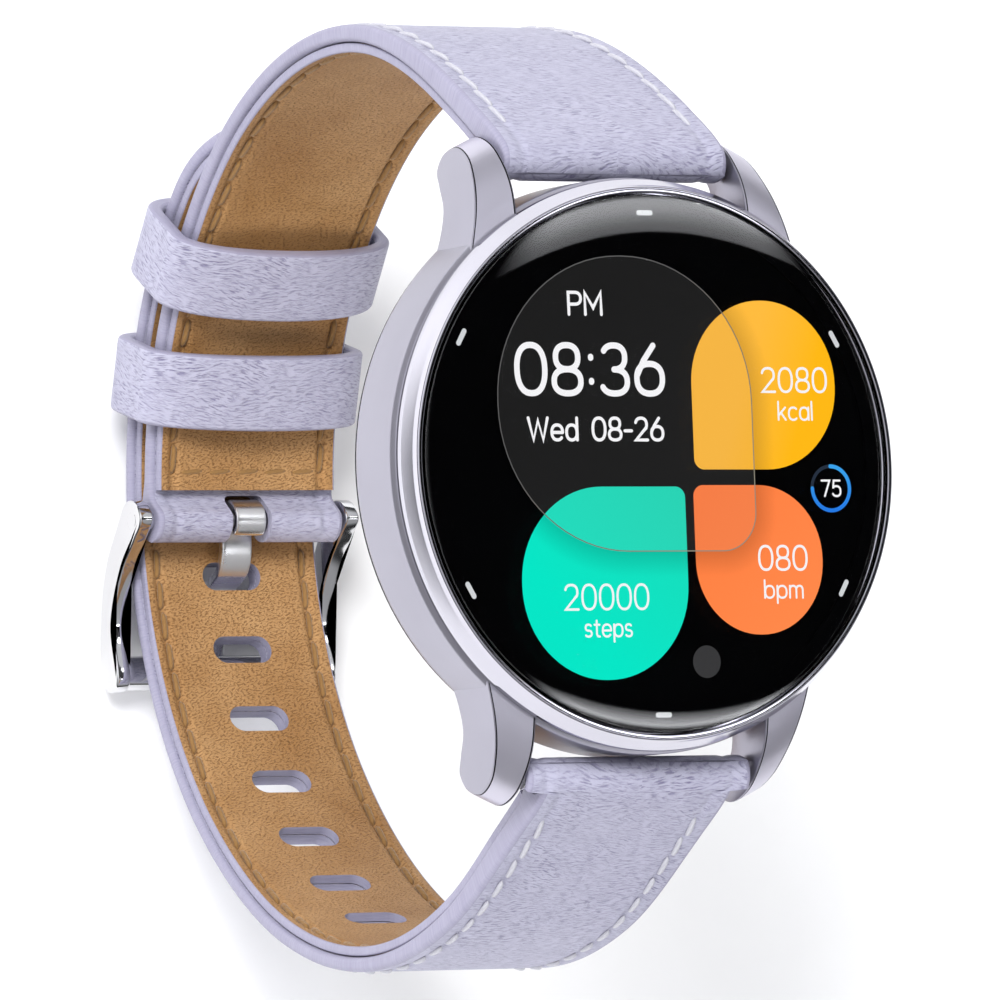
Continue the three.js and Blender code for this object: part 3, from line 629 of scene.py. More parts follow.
def catmull(points, per_span, closed=False):
    """A centripetal Catmull-Rom line through points."""
    pts = [np.array(p, float) for p in points]
    if closed:
        pts = [pts[-1], *pts, pts[0], pts[1]]
    else:
        pts = [2 * pts[0] - pts[1], *pts, 2 * pts[-1] - pts[-2]]
    out = []
    for p0, p1, p2, p3 in zip(pts, pts[1:], pts[2:], pts[3:]):
        t0 = 0.0
        t1 = t0 + np.linalg.norm(p1 - p0) ** 0.5
        t2 = t1 + np.linalg.norm(p2 - p1) ** 0.5
        t3 = t2 + np.linalg.norm(p3 - p2) ** 0.5
        for k in range(per_span):
            t = t1 + (t2 - t1) * k / per_span

            def between(a, b, ta, tb, t=t):
                return (tb - t) / (tb - ta) * a + (t - ta) / (tb - ta) * b

            a1, a2, a3 = between(p0, p1, t0, t1), between(p1, p2, t1, t2), between(p2, p3, t2, t3)
            out.append(between(between(a1, a2, t0, t2), between(a2, a3, t1, t3), t1, t2))
    if not closed:
        out.append(pts[-2])
    return np.array(out)


def inset(outline, amount):
    """A closed 2-D outline moved inwards by amount along its normals."""
    outline = np.asarray(outline, float)
    tangent = np.roll(outline, -1, 0) - np.roll(outline, 1, 0)
    tangent /= np.linalg.norm(tangent, axis=1)[:, None]
    area = np.cross(outline, np.roll(outline, -1, 0)).sum()
    inward = np.stack([-tangent[:, 1], tangent[:, 0]], 1) * np.sign(area)
    return outline + inward * amount


LUG_RIM = [
    (23.0, 9.05), (24.4, 8.75), (25.6, 8.2), (26.8, 7.3), (28.2, 5.7), (29.0, 3.4), (28.6, 1.6),
    (27.7, 1.2), (26.6, 2.1), (25.2, 3.4), (23.6, 3.6), (22.2, 3.0),
]
LUG_EDGE = 0.12                   # broken edge of a lug's sides
SEAM_WIDTH, SEAM_DEPTH = 0.09, 0.12


def lug_side_x(radius):
    """x where the lug's slanting outer side meets a circle of that radius."""
    (x0, y0), (x1, y1) = LUG_ROOT, LUG_TIP
    dx, dy = x1 - x0, y1 - y0
    a, b, c = dx * dx + dy * dy, 2 * (x0 * dx + y0 * dy), x0 * x0 + y0 * y0 - radius * radius
    return x0 + dx * (-b + math.sqrt(b * b - 4 * a * c)) / (2 * a)


def lug(name, flip_x, flip_y):
    """One lug: the hooked rim profile swept round the case between its two sides. A hairline groove runs
    where each side meets the front, coloured near-black as painted shade; the faces between the grooves take a
    lighter copy of the case metal, painted light."""
    outline = np.vstack([[(21.6, CASE_TOP - 0.05)], catmull(LUG_RIM, 6), [(21.6, CASE_BOTTOM + 0.1)]])
    stops = []                    # (distance in from a side, how far the outline is pulled in there)
    for turn in (0, 30, 60, 90):
        t = math.radians(turn)
        stops.append((LUG_EDGE * (1 - math.cos(t)), LUG_EDGE * (1 - math.sin(t))))
    stops += [(LUG_EDGE + 0.01, SEAM_DEPTH), (LUG_EDGE + SEAM_WIDTH, SEAM_DEPTH),
              (LUG_EDGE + SEAM_WIDTH + 0.02, 0.0)]
    # (share of the lug's width, distance past that, how far pulled in) for each ring of the skin
    placed = [(0, shift, pulled) for shift, pulled in stops]
    placed += [(k / 10, 0, 0) for k in range(1, 10)]
    placed += [(1, -shift, pulled) for shift, pulled in stops[::-1]]
    rings = []
    for share, shift, pulled in placed:
        ring = []
        for radius, z in inset(outline, pulled):
            x = LUG_INNER_X + share * (lug_side_x(radius) - LUG_INNER_X) + shift
            ring.append((x * flip_x, math.sqrt(radius**2 - x**2) * flip_y, z))
        rings.append(ring)
    mesh = skin_mesh(name, rings)
    size = len(outline)
    last = len(placed) - 7
    for start, end, material in ((3, 6, 1), (6, last, 2), (last, last + 3, 1)):
        for polygon in mesh.polygons[start * size:end * size]:
            polygon.material_index = material
    return mesh


def join(name, meshes):
    """One mesh out of several."""
    bm = bmesh.new()
    for mesh in meshes:
        bm.from_mesh(mesh)
    joined = bpy.data.meshes.new(name)
    bm.to_mesh(joined)
    bm.free()
    return joined


def mid_case():
    band = fillet(
        [(21.2, CASE_BOTTOM), (CASE_RADIUS - 0.25, CASE_BOTTOM), (CASE_RADIUS, CASE_BOTTOM + 0.7),
         (CASE_RADIUS, CASE_TOP - 0.5), (CASE_RADIUS - 0.35, CASE_TOP), (21.2, CASE_TOP)],
        [0.1, 0.3, 0.6, 0.45, 0.2, 0.1])
    case = turned("case_band", band, ["case"], None, segments=256)
    rooms = [cutter(rod_mesh("room", 2.1, (-LUG_INNER_X, y, BAR_Z), (LUG_INNER_X, y, BAR_Z), 48))
             for y in (BAR_Y, -BAR_Y)]
    for radius, floor_x, segments in ((BUTTON_RADIUS + 0.25, 22.4, 64), (1.5, 18, 48)):
        rooms.append(cutter(rod_mesh("recess", radius, (floor_x, 0, BUTTON_Z), (26, 0, BUTTON_Z), segments)))
    cut(case, rooms)
    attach(case, "case")
    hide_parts("mid_case")
    for word, flip_x, flip_y in (("upper_left", -1, 1), ("upper_right", 1, 1),
                                 ("lower_left", -1, -1), ("lower_right", 1, -1)):
        piece = add_object(f"lug_{word}", lug(word, flip_x, flip_y), ["case", "groove_shade", "lug_front"], None,
                           sharp=50)
        ends = [(flip_x * x, flip_y * BAR_Y, BAR_Z) for x in (10, 12.1)]
        cut(piece, [cutter(rod_mesh("hole", 0.7, *ends))])
        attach(piece, "case")


def bezel_and_glass():
    top, bend_radius = BEZEL_HIGH, GLASS_RADIUS - 0.15
    ring = fillet(
        [(20.4, BEZEL_LOW), (BEZEL_RADIUS - 0.2, BEZEL_LOW), (BEZEL_RADIUS, BEZEL_LOW + 0.25),
         (BEZEL_RADIUS - 0.05, BEZEL_LOW + 0.62), (BEZEL_RADIUS - 0.62, top - 0.5),
         (BEZEL_RADIUS - 0.8, top), (GLASS_RADIUS + 0.2, top - 0.06),
         (GLASS_RADIUS + 0.2, 10.15), (20.4, 10.15)],
        [0, 0.08, 0.15, 0.3, 0.8, 0.28, 0.06, 0, 0])
    turned("bezel", ring, ["bezel"], "case", ["bezel_ring"], segments=256, sharp=60)
    dome = [(bend_radius * t, top + 0.7 * (1 - t**4)) for t in np.linspace(0, 1, 40)]
    edge = [(bend_radius + 0.15 * math.sin(a), top - 0.25 + 0.25 * math.cos(a))
            for a in np.linspace(0.2, math.pi / 2, 8)]
    glass = [(0, GLASS_LOW), (bend_radius, GLASS_LOW), (GLASS_RADIUS, GLASS_LOW + 0.15)]
    turned("domed_glass", glass + edge[::-1] + dome[::-1], ["glass"], "case",
           ["cover_glass"], segments=256, sharp=30)
    low, high = GLASS_LOW - 0.06, GLASS_LOW - 0.04
    turned("glass_black_border", [(20.0, low), (21.5, low), (21.5, high), (20.0, high)], ["screen"], "case",
           segments=160)


def back():
    body = fillet(
        [(6.2, 0), (11, 0), (13.5, 1.0), (20.2, 1.0), (22.2, 1.7), (22.9, 2.65), (20.4, 2.65),
         (20.4, BACK_TOP), (19.8, BACK_TOP), (19.8, 2.2), (6.2, 2.2)],
        [0.12, 0.8, 0.8, 1.2, 0.8, 0.1, 0.05, 0.05, 0.05, 0.2, 0.05])
    cover = turned("back_shell", body, ["plastic"], None, segments=192, sharp=30)
    wells = []
    for number in range(1, 5):
        x, y, _ = node_middle(f"back_screw_{number}")
        wells.append(cutter(rod_mesh("well", 1.4, (x, y, 0), (x, y, 1.7), 48)))
        wells.append(cutter(rod_mesh("shank", 0.8, (x, y, 0), (x, y, 3), 24)))
    for side in ("left", "right"):
        x, y, _ = node_middle(f"charging_pin_{side}")
        wells.append(cutter(rod_mesh("pin", 1.15, (x, y, -1), (x, y, 3), 48)))
        pin = fillet([(0, 0.02), (1.0, 0.02), (1.0, 2.5), (0, 2.5)], [0, 0.25, 0.05, 0])
        turned(f"charging_contact_{side}", pin, ["gold"], "case",
               [f"charging_pin_{side}"], segments=48, centre=(x, y, 0))
    cut(cover, wells)
    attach(cover, "case")
    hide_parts("back_cover")
    window = fillet([(0, 0.0), (6.0, 0.0), (6.0, 1.4), (0, 1.4)], [0, 0.25, 0.05, 0])
    turned("optical_window", window, ["sensor_glass"], "case", ["sensor_window"], segments=96)


def side_button():
    outer = node_box("button_cap")[1].x
    cap = fillet([(0, 19.8), (0.9, 19.8), (0.9, 22.8), (BUTTON_RADIUS, 22.8), (BUTTON_RADIUS, outer - 0.25),
                  (BUTTON_RADIUS - 0.3, outer), (0, outer)],
                 [0, 0.1, 0.1, 0.2, 0.25, 0.4, 0])
    turned("side_button_cap", cap, ["case"], "side_button", ["button_cap"], segments=96,
           axis="x", centre=(0, 0, BUTTON_Z), sharp=50)


# ------------------------------------------------------------------ straps


def strap_section(half_width, low, high, corner, groove=None, columns=84):
    """A strap's section as (x, height) points round it, from the middle of the outer face."""
    corner = min(corner, (high - low) * 0.49, half_width * 0.49)
    flat = half_width - corner
    across = np.linspace(-1, 1, columns) * flat
    bends = [(corner * math.sin(t), corner * math.cos(t)) for t in np.linspace(0, math.pi / 2, 6)[1:-1]]

    def dip(x):
        return groove(x, half_width) if groove else 0.0

    points = [(x, high - dip(x)) for x in across[columns // 2:]]
    points += [(flat + s, high - corner + c) for s, c in bends]
    points += [(half_width, high - corner), (half_width, low + corner)]
    points += [(flat + c, low + corner - s) for s, c in bends]
    points += [(x, low + dip(x)) for x in across[::-1]]
    points += [(-flat - s, low + corner - c) for s, c in bends]
    points += [(-half_width, low + corner), (-half_width, high - corner)]
    points += [(-flat - c, high - corner + s) for s, c in bends]
    points += [(x, high - dip(x)) for x in across[:columns // 2]]
    return points


def section_slots(columns=84):
    """Which strips of strap_section are the painted edge, material 1, and which the face, 0."""
    side = [1] * 11
    return [0] * (columns // 2 - 1) + side + [0] * (columns - 1) + side + [0] * (columns // 2)


def ribbon(name, stations, corner, groove=None):
    """A strip of leather through stations (centre y and z, outward y and z, low, high, half width)."""
    rings, lengths = [], [0.0]
    for i, (y, z, out_y, out_z, low, high, half_width) in enumerate(stations):
        section = strap_section(half_width, low, high, corner, groove)
        rings.append([(x, y + out_y * h, z + out_z * h) for x, h in section])
        if i:
            lengths.append(lengths[-1] + math.dist((y, z), stations[i - 1][:2]))
    low, high, half_width = stations[len(stations) // 2][4:]
    middle = strap_section(half_width, low, high, corner)
    u = [0.0]
    for a, b in zip(middle, middle[1:] + middle[:1]):
        u.append(u[-1] + math.dist(a, b))
    return skin_mesh(name, rings, u=u, v=lengths, slot_of=section_slots())


def station(half, angle, low_of, high_of, half_width):
    """A station square to the loop at an angle; low and high are radii from the loop's centre line."""
    middle = half["radius"](angle)
    y, z = on_loop(angle, middle)
    a = math.radians(angle)
    return (y, z, math.sin(a), -math.cos(a), low_of(angle) - middle, high_of(angle) - middle, half_width)


def roll(bar_y, bar_z, angle, radius, half_width, direction):
    """Stations that carry the strap's end round a bar as a half-round roll."""
    steps = 14
    a = math.radians(angle)
    out = (math.sin(a), -math.cos(a))
    along = (math.cos(a) * direction, math.sin(a) * direction)
    made = []
    for k in range(1, steps + 1):
        s = radius * math.sin(k / steps * math.pi / 2 * 0.985)
        h = math.sqrt(radius**2 - s**2)
        made.append((bar_y + along[0] * s, bar_z + along[1] * s, *out, -h, h, half_width))
    return made


def ease(value, start, end):
    """0 at start, 1 at end, smooth between."""
    t = min(max((value - start) / (end - start), 0), 1)
    return t * t * (3 - 2 * t)


def leather_offsets(half, bar_angles):
    """Inner and outer radius of the leather layer; near a bar it fattens into the roll."""

    def surface(angle, value, side, from_angle, share):
        for bar, radius, reach in bar_angles:
            full = half["radius"](angle) + side * radius
            value += (full - value) * (1 - ease(abs(angle - bar), from_angle, reach * share))
        return value

    def high(angle):
        return surface(angle, half["radius"](angle) + half["thickness"](angle) / 2, 1, 0, 1)

    def low(angle):
        value = half["radius"](angle) - half["thickness"](angle) / 2 + LINING_THICKNESS + LAYER_GAP
        return surface(angle, value, -1, 0.3, 0.55)

    return low, high


def outer_groove(x, half_width):
    """The leather dips a little along its stitch rows."""
    return 0.16 * math.exp(-(((abs(x) - (half_width - STITCH_INSET)) / 0.4) ** 2))


def lining_groove(x, half_width):
    """The lining is narrower than the leather, so its groove lies nearer its own edge."""
    return 0.32 * math.exp(-(((abs(x) - (half_width - STITCH_INSET + 0.4)) / 0.4) ** 4))


def half_width_of(half, angle):
    """Half width of a strap half at an angle, with the long half's rounded tail."""
    wide = half["half_width"](angle)
    if half is LONG:
        t = min(max((angle - (TAIL_TIP_ANGLE - TAIL_ROUNDING)) / TAIL_ROUNDING, 0), 1)
        wide = min(wide, BUCKLE_END_HALF_WIDTH * math.sqrt(1 - 0.86 * t**3))
    return wide


def mark_edge(mesh):
    """What this cuts shows the painted edge, material 1."""
    mesh.polygons.foreach_set("material_index", [1] * len(mesh.polygons))
    return mesh


def slot_cutters():
    """The adjustment slots, each flared where it leaves the leather."""
    made = []
    half, reach = SLOT_WIDTH / 2, (SLOT_LENGTH - SLOT_WIDTH) / 2
    outline = [(reach + half * math.cos(t), half * math.sin(t))
               for t in np.linspace(-math.pi / 2, math.pi / 2, 17)]
    outline += [(-x, -y) for x, y in outline]
    for i in range(SLOT_COUNT):
        angle = FIRST_SLOT_ANGLE - i * SLOT_PITCH
        sin, cos = math.sin(math.radians(angle)), math.cos(math.radians(angle))
        y, z = on_loop(angle, LONG["radius"](angle))
        rings = []
        for depth, grow in ((-1.6, 0.35), (-1.0, 0.0), (1.0, 0.0), (1.6, 0.35)):
            ring = []
            for x, t in outline:
                from_x = x - math.copysign(reach, x)
                length = math.hypot(from_x, t) or 1
                along = t + t / length * grow
                ring.append((x + from_x / length * grow, y + along * cos + depth * sin,
                             z + along * sin - depth * cos))
            rings.append(ring)
        made.append(mark_edge(skin_mesh("slot", rings)))
    return cutter(join("slots", made))


def bend(piece, half):
    """Bakes a piece's placement into its mesh. It looks up its strap half's two bodies and flex line and works out
    points either side of that line, but blends nothing over the bodies.
    """
    bodies, flex = BENDS["short" if half is SHORT else "long"]
    for angle in (flex + FLEX_SPREAD, flex - FLEX_SPREAD):
        y, z = on_loop(angle, half["radius"](flex))
    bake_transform(piece)


def strap_leather(name, half, stations, cutters, solver):
    """One strap half's outer leather, cut, then handed to bend(), which bakes its placement."""
    leather = add_object(f"{name}_strap_leather", ribbon(f"{name}_leather", stations, 0.42, outer_groove),
                         ["leather", "edge"], None, sharp=60)
    cut(leather, cutters, solver)
    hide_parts(f"{name}_strap_leather_front", f"{name}_strap_leather_rear")
    bend(leather, half)


def bore(radius, y, z):
    return cutter(rod_mesh("bore", radius, (-12, y, z), (12, y, z)))


def straps():
    # Short half: leather rolled round the upper spring bar at one end and the buckle bar at the other.
    y, z = BUCKLE_BAR
    buckle_angle = loop_place(y, z)[0]
    low, high = leather_offsets(SHORT, [(UPPER_BAR[0], LUG_ROLL_RADIUS, 9),
                                        (buckle_angle, BUCKLE_ROLL_RADIUS, 6)])
    stations = roll(y, z, buckle_angle, BUCKLE_ROLL_RADIUS, BUCKLE_END_HALF_WIDTH, -1)[::-1]
    stations += [station(SHORT, a, low, high, half_width_of(SHORT, a))
                 for a in np.linspace(buckle_angle, UPPER_BAR[0], 240)]
    stations += roll(BAR_Y, BAR_Z, UPPER_BAR[0], LUG_ROLL_RADIUS, LUG_END_HALF_WIDTH, 1)
    notch = fillet([(y - 4, -1.9), (y + 2.1, -1.9), (y + 2.1, 1.9), (y - 4, 1.9)], [0, 0.7, 0.7, 0])
    notch_mesh = skin_mesh("notch", [[(x, t, z + h) for t, x in notch] for h in (-3, 3)])
    strap_leather("short", SHORT, stations, [
        cutter(mark_edge(notch_mesh)), bore(LUG_BORE_RADIUS, BAR_Y, BAR_Z), bore(BUCKLE_BORE_RADIUS, y, z),
    ], "FAST")

    # Long half: rolled round the lower spring bar, free rounded tail, seven slots.
    low, high = leather_offsets(LONG, [(LOWER_BAR[0], LUG_ROLL_RADIUS, 9)])
    stations = roll(-BAR_Y, BAR_Z, LOWER_BAR[0], LUG_ROLL_RADIUS, LUG_END_HALF_WIDTH, -1)[::-1]
    stations += [station(LONG, a, low, high, half_width_of(LONG, a))
                 for a in np.linspace(LOWER_BAR[0], TAIL_TIP_ANGLE, 330)]
    strap_leather("long", LONG, stations, [slot_cutters(), bore(LUG_BORE_RADIUS, -BAR_Y, BAR_Z)], "EXACT")

    for word, half, start, end in (("short", SHORT, 2.7, UPPER_BAR[0] - 4.5),
                                   ("long", LONG, LOWER_BAR[0] + 4.5, TAIL_TIP_ANGLE - 0.6)):
        def inner(a, half=half):
            return half["radius"](a) - half["thickness"](a) / 2

        def outer(a, inner=inner):
            return inner(a) + LINING_THICKNESS

        stations = [station(half, a, inner, outer, half_width_of(half, a) - 0.4)
                    for a in np.linspace(start, end, 300)]
        lining = add_object(f"{word}_strap_lining", ribbon(f"{word}_lining", stations, 0.18, lining_groove),
                            ["lining", "edge"], None, sharp=60)
        if half is LONG:
            cut(lining, [slot_cutters()])
        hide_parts(f"{word}_strap_lining_front", f"{word}_strap_lining_rear")
        bend(lining, half)


def stitch_mesh(name, places, radius, length, slant):
    """Stitches as short arched threads. places are (point, along, across, up) frames at their middles."""
    around, steps = 10, 9
    meshes_rings = []
    for point, along, across, up in places:
        along = along * math.cos(slant) + across * math.sin(slant)
        rings = []
        for k in range(steps):
            t = k / (steps - 1) * 2 - 1
            thick = radius * math.sqrt(max(1 - t**6, 0.02))
            lift = -0.75 * radius * t**4
            side = np.cross(along, up)
            side /= np.linalg.norm(side)
            centre = point + along * (t * length / 2) + up * (lift + radius * 0.25)
            rings.append([centre + thick * (math.cos(a) * side + math.sin(a) * up)
                          for a in np.arange(around) * 2 * math.pi / around])
        meshes_rings.append(skin_mesh(name, rings))
    return join(name, meshes_rings)


def row_frames(start, end, pitch, x_of, radius_of, outwards):
    """Frames at equal steps along a strap half, at x_of(angle) across it."""
    made = []
    angle = start
    direction = 1 if end > start else -1
    while (end - angle) * direction > 0:
        radius = radius_of(angle)
        y, z = on_loop(angle, radius)
        along, out = loop_frame(angle)
        made.append((np.array((x_of(angle), y, z)), along, np.array((1.0, 0, 0)),
                     out * (1 if outwards else -1)))
        angle += direction * math.degrees(pitch / radius)
    return made


def loop_frame(angle):
    """Unit vectors along the strap and out of it, at an angle round the loop."""
    a = math.radians(angle)
    return np.array((0, math.cos(a), math.sin(a))), np.array((0, math.sin(a), -math.cos(a)))


def stitches():
    """White rows outside and tan rows on the lining, both sides, and one tan row across the buckle end."""
    white, tan = 2.75, 2.7
    for word, half, outside_span, lining_span in (
        ("short", SHORT, (129.5, 4.5), (126, 5.2)),
        ("long", LONG, (-127, TAIL_TIP_ANGLE - 3.4), (-124, TAIL_TIP_ANGLE - 4)),
    ):
        def depth(sign, sunk, half=half):
            return lambda a: half["radius"](a) + sign * half["thickness"](a) / 2 + sunk

        def rows(span, pitch, height, outwards, half=half):
            made = []
            for sign in (-1, 1):
                made += row_frames(*span, pitch, lambda a: sign * (half_width_of(half, a) - STITCH_INSET),
                                   height, outwards)
            return made

        frames = rows(outside_span, white, depth(1, -0.1), True)
        row = add_object(f"{word}_strap_top_stitches", stitch_mesh(word, frames, 0.22, 2.76, 0.16),
                         ["white_thread"], None)
        bend(row, half)
        frames = rows(lining_span, tan, depth(-1, 0.2), False)
        if half is SHORT:
            low_end = lining_span[1]
            y, z = on_loop(low_end, depth(-1, 0.2)(low_end))
            along, out = loop_frame(low_end)
            for x in np.arange(-5.4, 5.5, tan):
                frames.append((np.array((x, y, z)), np.array((1.0, 0, 0)), along, -out))
        row = add_object(f"{word}_strap_lining_stitches", stitch_mesh(word, frames, 0.24, 2.6, 0.08),
                         ["tan_thread"], None)
        bend(row, half)


def keeper_outline(grow):
    """The keeper's inner face seen along the strap, or its outer face with grow its thickness."""
    half = 9.2 + grow
    inner, outer = 33.5 - grow, 41.5 + grow
    inner_side, outer_side = 34.6 - grow * 0.6, 41.0 + grow * 0.8
    shoulder = (8.2 + grow * 0.5, 41.4 + grow)
    spans = [
        ([(-half, 36), (-half, inner_side), (-6, inner), (0, inner)], 24),
        ([(0, inner), (6, inner), (half, inner_side), (half, 36)], 24),
        ([(half, 36), (half, 37.3), (half, 38.5), (half, 39.8)], 8),
        ([(half, 39.8), (half, outer_side), shoulder, (6, outer)], 12),
        ([(6, outer), (2, outer), (-2, outer), (-6, outer)], 20),
        ([(-6, outer), (-shoulder[0], shoulder[1]), (-half, outer_side), (-half, 39.8)], 12),
        ([(-half, 39.8), (-half, 38.5), (-half, 37.3), (-half, 36)], 8),
    ]
    points = []
    for corners, count in spans:
        for k in range(count):
            t = k / count
            points.append([(1 - t) ** 3 * a + 3 * t * (1 - t) ** 2 * b + 3 * t * t * (1 - t) * c + t**3 * d
                           for a, b, c, d in zip(*corners)])
    return np.array(points)


def keepers():
    """Leather loops round both halves: a closed band with a rounded section."""
    thickness = 1.3
    inside, outside = keeper_outline(0), keeper_outline(thickness)
    half = KEEPER_LENGTH / 2
    corner_t, corner_w = 0.4, 0.4 / thickness
    section = []                  # (place along the strap in mm, share of the thickness)
    for sx, cw, start in ((1, 1 - corner_w, 0), (-1, 1 - corner_w, 90), (-1, corner_w, 180), (1, corner_w, 270)):
        for a in np.radians(start + 90 * np.arange(6) / 5):
            section.append((sx * (half - corner_t) + corner_t * math.cos(a), cw + corner_w * math.sin(a)))
        if start in (0, 180):
            for k in range(1, 12):
                section.append((sx * (half - corner_t) * (1 - 2 * k / 12), 1.0 if start == 0 else 0.0))
    slots = [1 if abs((w0 + w1) / 2 - 0.5) < 0.45 else 0
             for (_, w0), (_, w1) in zip(section, section[1:] + section[:1])]
    for name, (angle, body) in KEEPERS.items():
        along, out = loop_frame(angle)
        centre = np.array((0, LOOP_Y, LOOP_Z))
        rings = []
        for p_in, p_out in zip(inside, outside):
            ring = []
            for t, w in section:
                x, r = p_in + (p_out - p_in) * w
                ring.append(centre + np.array((x, 0, 0)) + out * r + along * t)
            rings.append(ring)
        mesh = skin_mesh(name, rings, joined=True, slot_of=slots)
        swap_uv(mesh)
        add_object(f"leather_{name}", mesh, ["leather", "edge"], body, [name], sharp=60)


def swap_uv(mesh):
    """Turns the UVs a quarter, so that grain which runs along becomes grain which runs round."""
    data = mesh.uv_layers[0].data
    flat = np.zeros(len(data) * 2)
    data.foreach_get("uv", flat)
    flat = flat.reshape(-1, 2)[:, ::-1]
    data.foreach_set("uv", flat.ravel())


# ------------------------------------------------------------------ buckle


def plate(name, outline, x0, x1, edge):
    """A flat plate square to X from a closed (y, z) outline, with rounded edges."""
    turns = [(edge * (1 - math.cos(t)), edge * (1 - math.sin(t))) for t in np.linspace(0, math.pi / 2, 6)]
    levels = [(x0 + shift, pulled) for shift, pulled in turns]
    levels += [(x1 - shift, pulled) for shift, pulled in turns[::-1]]
    return skin_mesh(name, [[(x, y, z) for y, z in inset(outline, pulled)] for x, pulled in levels])


def buckle():
    def outline(places, per_span):
        return catmull([on_loop(*place) for place in places], per_span, closed=True)

    cheek = outline([(1.2, 36.2), (1.2, 37.6), (-1.6, 39.2), (-6, 41.6), (-11, 43.3), (-17.5, 44.9), (-19.8, 44.4),
                     (-19.8, 42.6), (-13, 41.6), (-7, 38.8), (-3.6, 36.3), (-1.2, 35.0)], 10)
    crossbar = outline([(-16.6, 44.3), (-19.6, 44.3), (-19.6, 42.6), (-16.6, 42.3)], 8)
    sides = [plate("cheek", cheek, -10.7, -9.3, 0.28), plate("cheek", cheek, 9.3, 10.7, 0.28),
             plate("crossbar", crossbar, -10.2, 10.2, 0.1)]
    add_object("buckle_cheeks_and_crossbar", join("buckle", sides), ["mirror"], "buckle",
               ["buckle_frame"], sharp=50)
    y, z = BUCKLE_BAR
    bar = fillet([(0, -10.75), (0.75, -10.75), (0.8, -10.5), (0.8, 10.5), (0.75, 10.75), (0, 10.75)],
                 [0, 0.15, 0.1, 0.1, 0.15, 0])
    turned("buckle_pivot_bar", bar, ["mirror"], "buckle", ["buckle_bar"], segments=48,
           axis="x", centre=(0, y, z))

    # The tang: one strip curled round the bar, then out through the first slot to the crossbar.
    middle_radius = 0.8 + 0.15 + 0.4      # bar, clearance and half the strip
    along, out = (v[1:] for v in loop_frame(loop_place(y, z)[0]))
    centre = np.array((y, z))
    curl = [centre + middle_radius * (math.cos(t) * along + math.sin(t) * out)
            for t in np.radians(np.arange(-150, 91, 10))]
    path = [on_loop(*place) for place in ((-5.2, 38.0), (-7.4, 38.9), (-8.2, 40.2), (-9.0, 41.5), (-11.5, 43.1),
                                          (-15.5, 45.0), (-20.2, 45.1))]
    line = catmull([*curl[::3], *path], 6)
    rings = []
    for i, p in enumerate(line):
        q0, q1 = line[max(i - 1, 0)], line[min(i + 1, len(line) - 1)]
        tangent = (q1 - q0) / np.linalg.norm(q1 - q0)
        shrink = [0.72, 0.92, 1.0][min(i, len(line) - 1 - i, 2)]
        rings.append([(x, p[0] - tangent[1] * h, p[1] + tangent[0] * h)
                      for x, h in strap_section(1.45 * shrink, -0.4 * shrink, 0.4 * shrink, 0.2, columns=8)])
    add_object("buckle_tongue", skin_mesh("tang", rings), ["tang"], "tang",
               ["buckle_tang"], sharp=60)


# ------------------------------------------------------------------ screen

SCREEN_Z = DISPLAY_TOP + 0.05
HOUR_MARK_RADIUS = 20.1
BATTERY = (16.6, -2.0)

